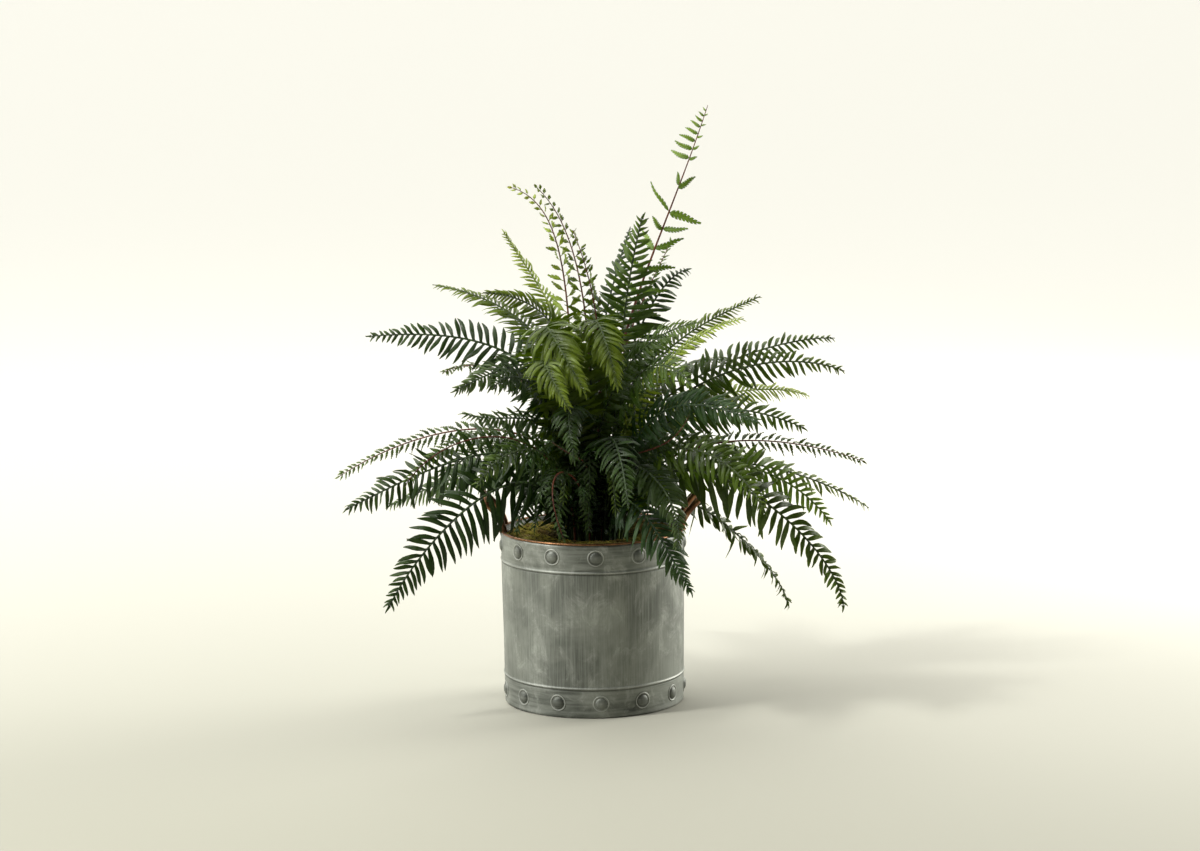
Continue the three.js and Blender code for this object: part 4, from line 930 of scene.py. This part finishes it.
# All leaflets of a frond at once, as an array of leaflets, steps along and points round the
# section. The middle line leaves the stem by its sweep and bends as an arc, with a slight sine
# to both sides. It lifts and droops as a parabola, and sags. The section has a fold along the
# rib and falls at the edges, as fold |s| - arch s^2, with waves along the edges.
def growLeaflets(line, styleName, plan):
    style = leafStyles[styleName]
    outline = outlines[style["outline"]]
    many = len(plan["share"])
    bell = lambda: np.clip(draw.normal(0, 1, many), -1.8, 1.8)
    angle = lambda key: np.radians(style[key][0] + style[key][1] * bell())
    place, forward, left, up = line.at(plan["share"])
    side, length = plan["side"], plan["length"]
    sweep = np.radians(plan["sweep"] + draw.normal(0, blade["sweepJitter"], many))
    bend, lift, droop, roll, twist = [angle(key) for key in ("bend", "lift", "droop", "roll", "twist")]
    lift = lift + np.radians(plan["lift"])
    phase = draw.uniform(0, 2 * math.pi, many)[:, None]
    s = outline["along"][None]
    out = forward * np.cos(sweep)[:, None] + left * (side * np.sin(sweep))[:, None]
    across = forward * (side * np.sin(sweep))[:, None] - left * np.cos(sweep)[:, None]
    curve = np.where(np.abs(bend) < 0.02, 0.02, bend)[:, None]
    swing = curve * s * side[:, None]
    ahead = np.sin(curve * s) / curve * length[:, None]
    aside = (1 - np.cos(curve * s)) / curve * length[:, None] * side[:, None]
    aside = aside + blade["sickle"] * length[:, None] * s * np.sin(2 * math.pi * s + phase)
    raised = length[:, None] * (np.tan(lift)[:, None] * s - np.tan(droop)[:, None] * s ** 2)
    middle = (place[:, None] + out[:, None] * ahead[..., None] + across[:, None] * aside[..., None]
              + up[:, None] * raised[..., None])
    middle[..., 2] -= blade["sag"] * length[:, None] * s ** 1.5
    acrossHere = across[:, None] * np.cos(swing)[..., None] - out[:, None] * np.sin(swing)[..., None]
    rolled = (roll[:, None] + twist[:, None] * s)[..., None]
    upHere = up[:, None] * np.cos(rolled) - acrossHere * np.sin(rolled)
    acrossHere = acrossHere * np.cos(rolled) + up[:, None] * np.sin(rolled)
    shape = mix(outline["wide"][0], outline["wide"][1], smoothStep(plan["even"], 0.8, 0.98)[:, None])
    half = (plan["half"][:, None] * shape)[..., None]
    rise = half * (blade["fold"] * np.abs(section) - blade["arch"] * section ** 2)
    waves = np.sin(blade["waves"] * math.pi * s + phase)[..., None] * np.abs(section) * section
    rise = rise + blade["wave"] * np.minimum(1, half / 3) * waves
    rise = rise + blade["thick"] * isTop * np.minimum(1, half)
    lean = (outline["lean"][None, :, None] * np.abs(section) * length[:, None, None])[..., None]
    points = (middle[:, :, None] + acrossHere[:, :, None] * (half * section)[..., None]
              + upHere[:, :, None] * rise[..., None] + out[:, None, None] * lean)
    tips = middle[:, -1] + unit(middle[:, -1] - middle[:, -2]) * (length * blade["tip"])[:, None]
    return points, tips


# A frond's points, faces and marks: each leaflet is closed by a cap in the stem and by its tip,
# and the stem is a tapering tube that is a little flat on top
def growFrond(row, root):
    styleName, longest, bare = row[0], row[3], row[4]
    line = FrondLine(root, row)
    outline = outlines[leafStyles[styleName]["outline"]]
    plan = planLeaflets(line, styleName, longest)
    blades, tips = growLeaflets(line, styleName, plan)
    many, steps, around = blades.shape[:3]
    each = steps * around + 1
    leaflets = np.concatenate([blades.reshape(many, -1, 3), tips[:, None]], 1)
    quads = repeatFaces(ringQuads(steps, around)[:, ::-1], many, each)
    tipFans = repeatFaces(ringFan((steps - 1) * around, around, steps * around, True), many, each)
    caps = repeatFaces(np.arange(around)[None], many, each)
    bladeUv = np.zeros((each, 2))
    bladeUv[:-1, 0] = np.repeat(outline["along"], around)
    bladeUv[:-1, 1] = np.tile((section + 1) / 2, steps)
    bladeUv[-1] = [1, 0.5]
    edge = np.tile(np.append(np.tile(np.abs(section) == 1, steps), True), many)
    stemSteps = int(line.length / stems["step"])
    at = np.linspace(0, 1, stemSteps)
    place, _, left, up = line.at(at)
    low, middle, tip = stems["lacy" if styleName in lacy else "plain"]
    thick = np.interp(at, [0, bare, 0.9, 1], [low, middle, 1.3 * tip, 0.8 * tip])
    turns = evenTurns(stems["around"])
    flat = np.where(np.sin(turns) > 0.5, 0.72, 1.0)
    ring = left[:, None] * np.cos(turns)[:, None] + up[:, None] * (np.sin(turns) * flat)[:, None]
    tube = place[:, None] + ring * thick[:, None, None]
    first, count = many * each, stemSteps * stems["around"]
    points = np.concatenate([leaflets.reshape(-1, 3), tube.reshape(-1, 3), place[:1], place[-1:]])
    quads = np.concatenate([quads, ringQuads(stemSteps, stems["around"]) + first])
    fans = endFans(stemSteps, stems["around"]) + first
    shades = draw.normal(leafShade["middle"], leafShade["spread"], many)
    # painted light: a few leaflets get a shade past the high colour, as if lit through from behind
    shades = shades + (draw.random(many) < leafShade["paintedLightShare"]) * leafShade["paler"]
    shades = np.clip(shades, 0, leafShade["most"])
    marks = {"shade": np.concatenate([np.repeat(shades, each), np.full(count + 2, 0.5)]),
             "along": np.concatenate([np.repeat(plan["even"], each),
                                      np.repeat(at, stems["around"]), [0, 1]]),
             "stem": np.concatenate([np.zeros(many * each), np.ones(count + 2)])}
    return {"points": points, "quads": quads, "fans": np.concatenate([tipFans, fans]), "caps": caps,
            "uv": np.concatenate([np.tile(bladeUv, (many, 1)), np.zeros((count + 2, 2))]),
            "marks": marks, "creases": np.concatenate([edge, np.zeros(count + 2, bool)])}


def makeFrond(name, parts, material, nodes):
    firsts = np.concatenate([[0], np.cumsum([len(part["points"]) for part in parts])[:-1]])
    join = lambda key: np.concatenate([part[key] for part in parts])
    faces = [np.concatenate([part[key] + first for part, first in zip(parts, firsts)])
             for key in ("quads", "fans", "caps")]
    marks = {key: np.concatenate([part["marks"][key] for part in parts]) for key in parts[0]["marks"]}
    makePiece(name, join("points"), faces, material, nodes, uv=join("uv"), marks=marks,
              creases=join("creases"))


leafMaterials = {}


def leafMaterial(styleName, look):
    key = ("lace" if styleName in lacy else "sword", look)
    if key not in leafMaterials:
        leafMaterials[key] = makeLeafMaterial(*key)
    return leafMaterials[key]


for (name, row), root in zip(fronds.items(), placeRoots()):
    material = leafMaterial(row[0], frondLooks.get(name, row[1]))
    makeFrond(f"fern_{name}", [growFrond(row, root)], material, [f"frond_{name}"])
print("fronds made:", len(fronds))

# Young fronds, in millimetres and degrees. Pairs are the least and the most of an even draw, but
# root runs from the first to the last. overRim has a turn, a reach and a tip height for each.
young = {"count": 50, "turn": 137.5, "turnSpread": 12, "root": (8, 46), "reach": (70, 122),
         "tip": (232, 318), "middle": (282, 348), "start": 206, "aside": 14, "tilt": 40,
         "leaflet": (22, 31), "bare": 0.3, "looks": ["deep", "blue", "deep", "green"],
         "rimFoot": 40, "rimMiddle": 284,
         "overRim": [(172, 104, 238), (192, 110, 236), (208, 112, 232), (226, 106, 240), (246, 98, 244)]}


# A young frond rises from the soil, arches and hangs
def growYoungFrond(turn, foot, reach, middleHeight, tipHeight):
    heading = np.array([math.cos(turn), math.sin(turn), 0])
    aside = np.array([-heading[1], heading[0], 0]) * draw.uniform(-young["aside"], young["aside"])
    root = tuple(heading * foot + [0, 0, young["start"]])
    third = heading * mix(foot, reach, 0.22) + [0, 0, mix(young["start"], middleHeight, 0.7)]
    later = heading * mix(foot, reach, 0.6) + aside * 0.5 + [0, 0, max(middleHeight, tipHeight * 0.98)]
    tip = heading * reach + aside + [0, 0, tipHeight]
    tilt = draw.uniform(-young["tilt"], young["tilt"])
    longest = mix(*young["leaflet"], draw.random())
    row = ("under", "deep", tilt, longest, young["bare"], tuple(third), tuple(later), tuple(tip))
    return growFrond(row, root)


# Short fronds fill the foot of the crown, each a golden-angle turn from the last, and a few more
# hang over the rim at the left
def makeYoungFronds():
    groups = {look: [] for look in young["looks"]}
    for k in range(young["count"]):
        spread = draw.uniform(-young["turnSpread"], young["turnSpread"])
        turn = math.radians(young["turn"] * k + spread)
        reach, tipHeight = mix(*young["reach"], draw.random()), mix(*young["tip"], draw.random())
        foot = mix(*young["root"], (k + 0.5) / young["count"])
        middleHeight = mix(*young["middle"], draw.random())
        frond = growYoungFrond(turn, foot, reach, middleHeight, tipHeight)
        groups[young["looks"][k % len(young["looks"])]].append(frond)
    for turn, reach, tipHeight in young["overRim"]:
        frond = growYoungFrond(math.radians(turn), young["rimFoot"], reach, young["rimMiddle"], tipHeight)
        groups["deep"].append(frond)
    for look, parts in groups.items():
        makeFrond(f"young_fronds_{look}", parts, leafMaterial("under", look), [])


makeYoungFronds()
print("young fronds made:", young["count"] + len(young["overRim"]))

# Floor, light and camera
stage = {
    # the floor runs from its painted shade, near, round the darkest point, to its plain colour, far
    "near": paint(152, 151, 138), "far": paint(248, 247, 240),
    "paintedShadeCentre": (-0.7, -2.4), "spread": (1.3, 6.2), "floorSize": 210, "floorLevel": -0.0004,
    "sky": {"front": 0.06, "back": 1.12, "turnsFrom": -0.55, "turnsTo": 0.45, "top": 0.42},
    "skyColour": paint(252, 250, 240),
    "suns": [
        ("wash", (-0.25, 0.75, 1.5), 2.35, 60, (1.0, 0.995, 0.965)),
    ],
    "lamps": [
        ("key", (-2.9, -0.6, 1.4), 1.9, 53, (1.0, 0.995, 0.97)),
        ("gleam", (-1.7, -0.8, 2.6), 0.35, 66, (1.0, 0.995, 0.95)),
        ("back_right", (2.6, 1.3, 1.2), 1.2, 78, (1.0, 0.985, 0.94)),
    ],
    "aim": (0, 0, 0.3),
}
view = {"place": (0.0115, -4.010, 0.958), "down": 8.453, "roll": 0.692, "lens": 93.45}


# A plain pale floor with painted shade, darker round a point in front of the part, as soft lamps would leave
# it
def makeFloor():
    material, tree = newMaterial("pale floor")
    place = addNode(tree, "ShaderNodeTexCoord").outputs["Object"]
    x, y = stage["paintedShadeCentre"]
    away = addNode(tree, "ShaderNodeVectorMath", {0: place, 1: (x, y, 0)}, operation="DISTANCE")
    share = mapRange(tree, away.outputs["Value"], *stage["spread"])
    colour = mixColours(tree, share, stage["near"], stage["far"])
    finishMaterial(tree, {"Base Color": colour, "Roughness": 0.75, "Specular IOR Level": 0.2})
    half, level = stage["floorSize"] / 2, stage["floorLevel"]
    corners = [(x * half, y * half, level) for x, y in ((-1, -1), (1, -1), (1, 1), (-1, 1))]
    mesh = bpy.data.meshes.new("floor")
    mesh.from_pydata(corners, [], [(0, 1, 2, 3)])
    mesh.materials.append(material)
    floor = bpy.data.objects.new("floor", mesh)
    bpy.context.scene.collection.objects.link(floor)


# The studio round the part is bright behind it and dim in front, and dimmer overhead
def makeSky():
    world = bpy.data.worlds.new("studio")
    world.use_nodes = True
    tree = world.node_tree
    sky = stage["sky"]
    heading = addNode(tree, "ShaderNodeTexCoord").outputs["Generated"]
    parts = addNode(tree, "ShaderNodeSeparateXYZ", {0: heading})
    strength = mapRange(tree, parts.outputs[1], sky["turnsFrom"], sky["turnsTo"], sky["front"], sky["back"])
    overhead = mapRange(tree, parts.outputs[2], 0.2, 0.9, 1.0, sky["top"])
    back = tree.nodes["Background"]
    back.inputs[0].default_value = stage["skyColour"]
    tree.links.new(mathNode(tree, "MULTIPLY", strength, overhead), back.inputs[1])
    bpy.context.scene.world = world


def addLamp(name, lamp, place):
    holder = bpy.data.objects.new(name, lamp)
    holder.location = place
    aim = Vector(stage["aim"]) - Vector(place)
    holder.rotation_euler = aim.to_track_quat("-Z", "Y").to_euler()
    bpy.context.scene.collection.objects.link(holder)


def makeLamps():
    for name, place, power, softness, colour in stage["suns"]:
        lamp = bpy.data.lights.new(name, "SUN")
        lamp.energy, lamp.angle, lamp.color = power, math.radians(softness), colour
        addLamp(name, lamp, place)
    for name, place, size, power, colour in stage["lamps"]:
        lamp = bpy.data.lights.new(name, "AREA")
        lamp.size, lamp.energy, lamp.color = size, power, colour
        addLamp(name, lamp, place)


def makeCamera():
    lens = bpy.data.cameras.new("camera")
    lens.lens, lens.sensor_width = view["lens"], 36
    lens.clip_start, lens.clip_end = 0.1, 400
    camera = bpy.data.objects.new("camera", lens)
    camera.location = view["place"]
    level = Matrix.Rotation(math.radians(90 - view["down"]), 3, "X")
    camera.rotation_euler = (level @ Matrix.Rotation(-math.radians(view["roll"]), 3, "Z")).to_euler()
    bpy.context.scene.collection.objects.link(camera)
    bpy.context.scene.camera = camera


makeFloor()
makeSky()
makeLamps()
makeCamera()
bpy.context.scene.view_settings.view_transform = "Standard"
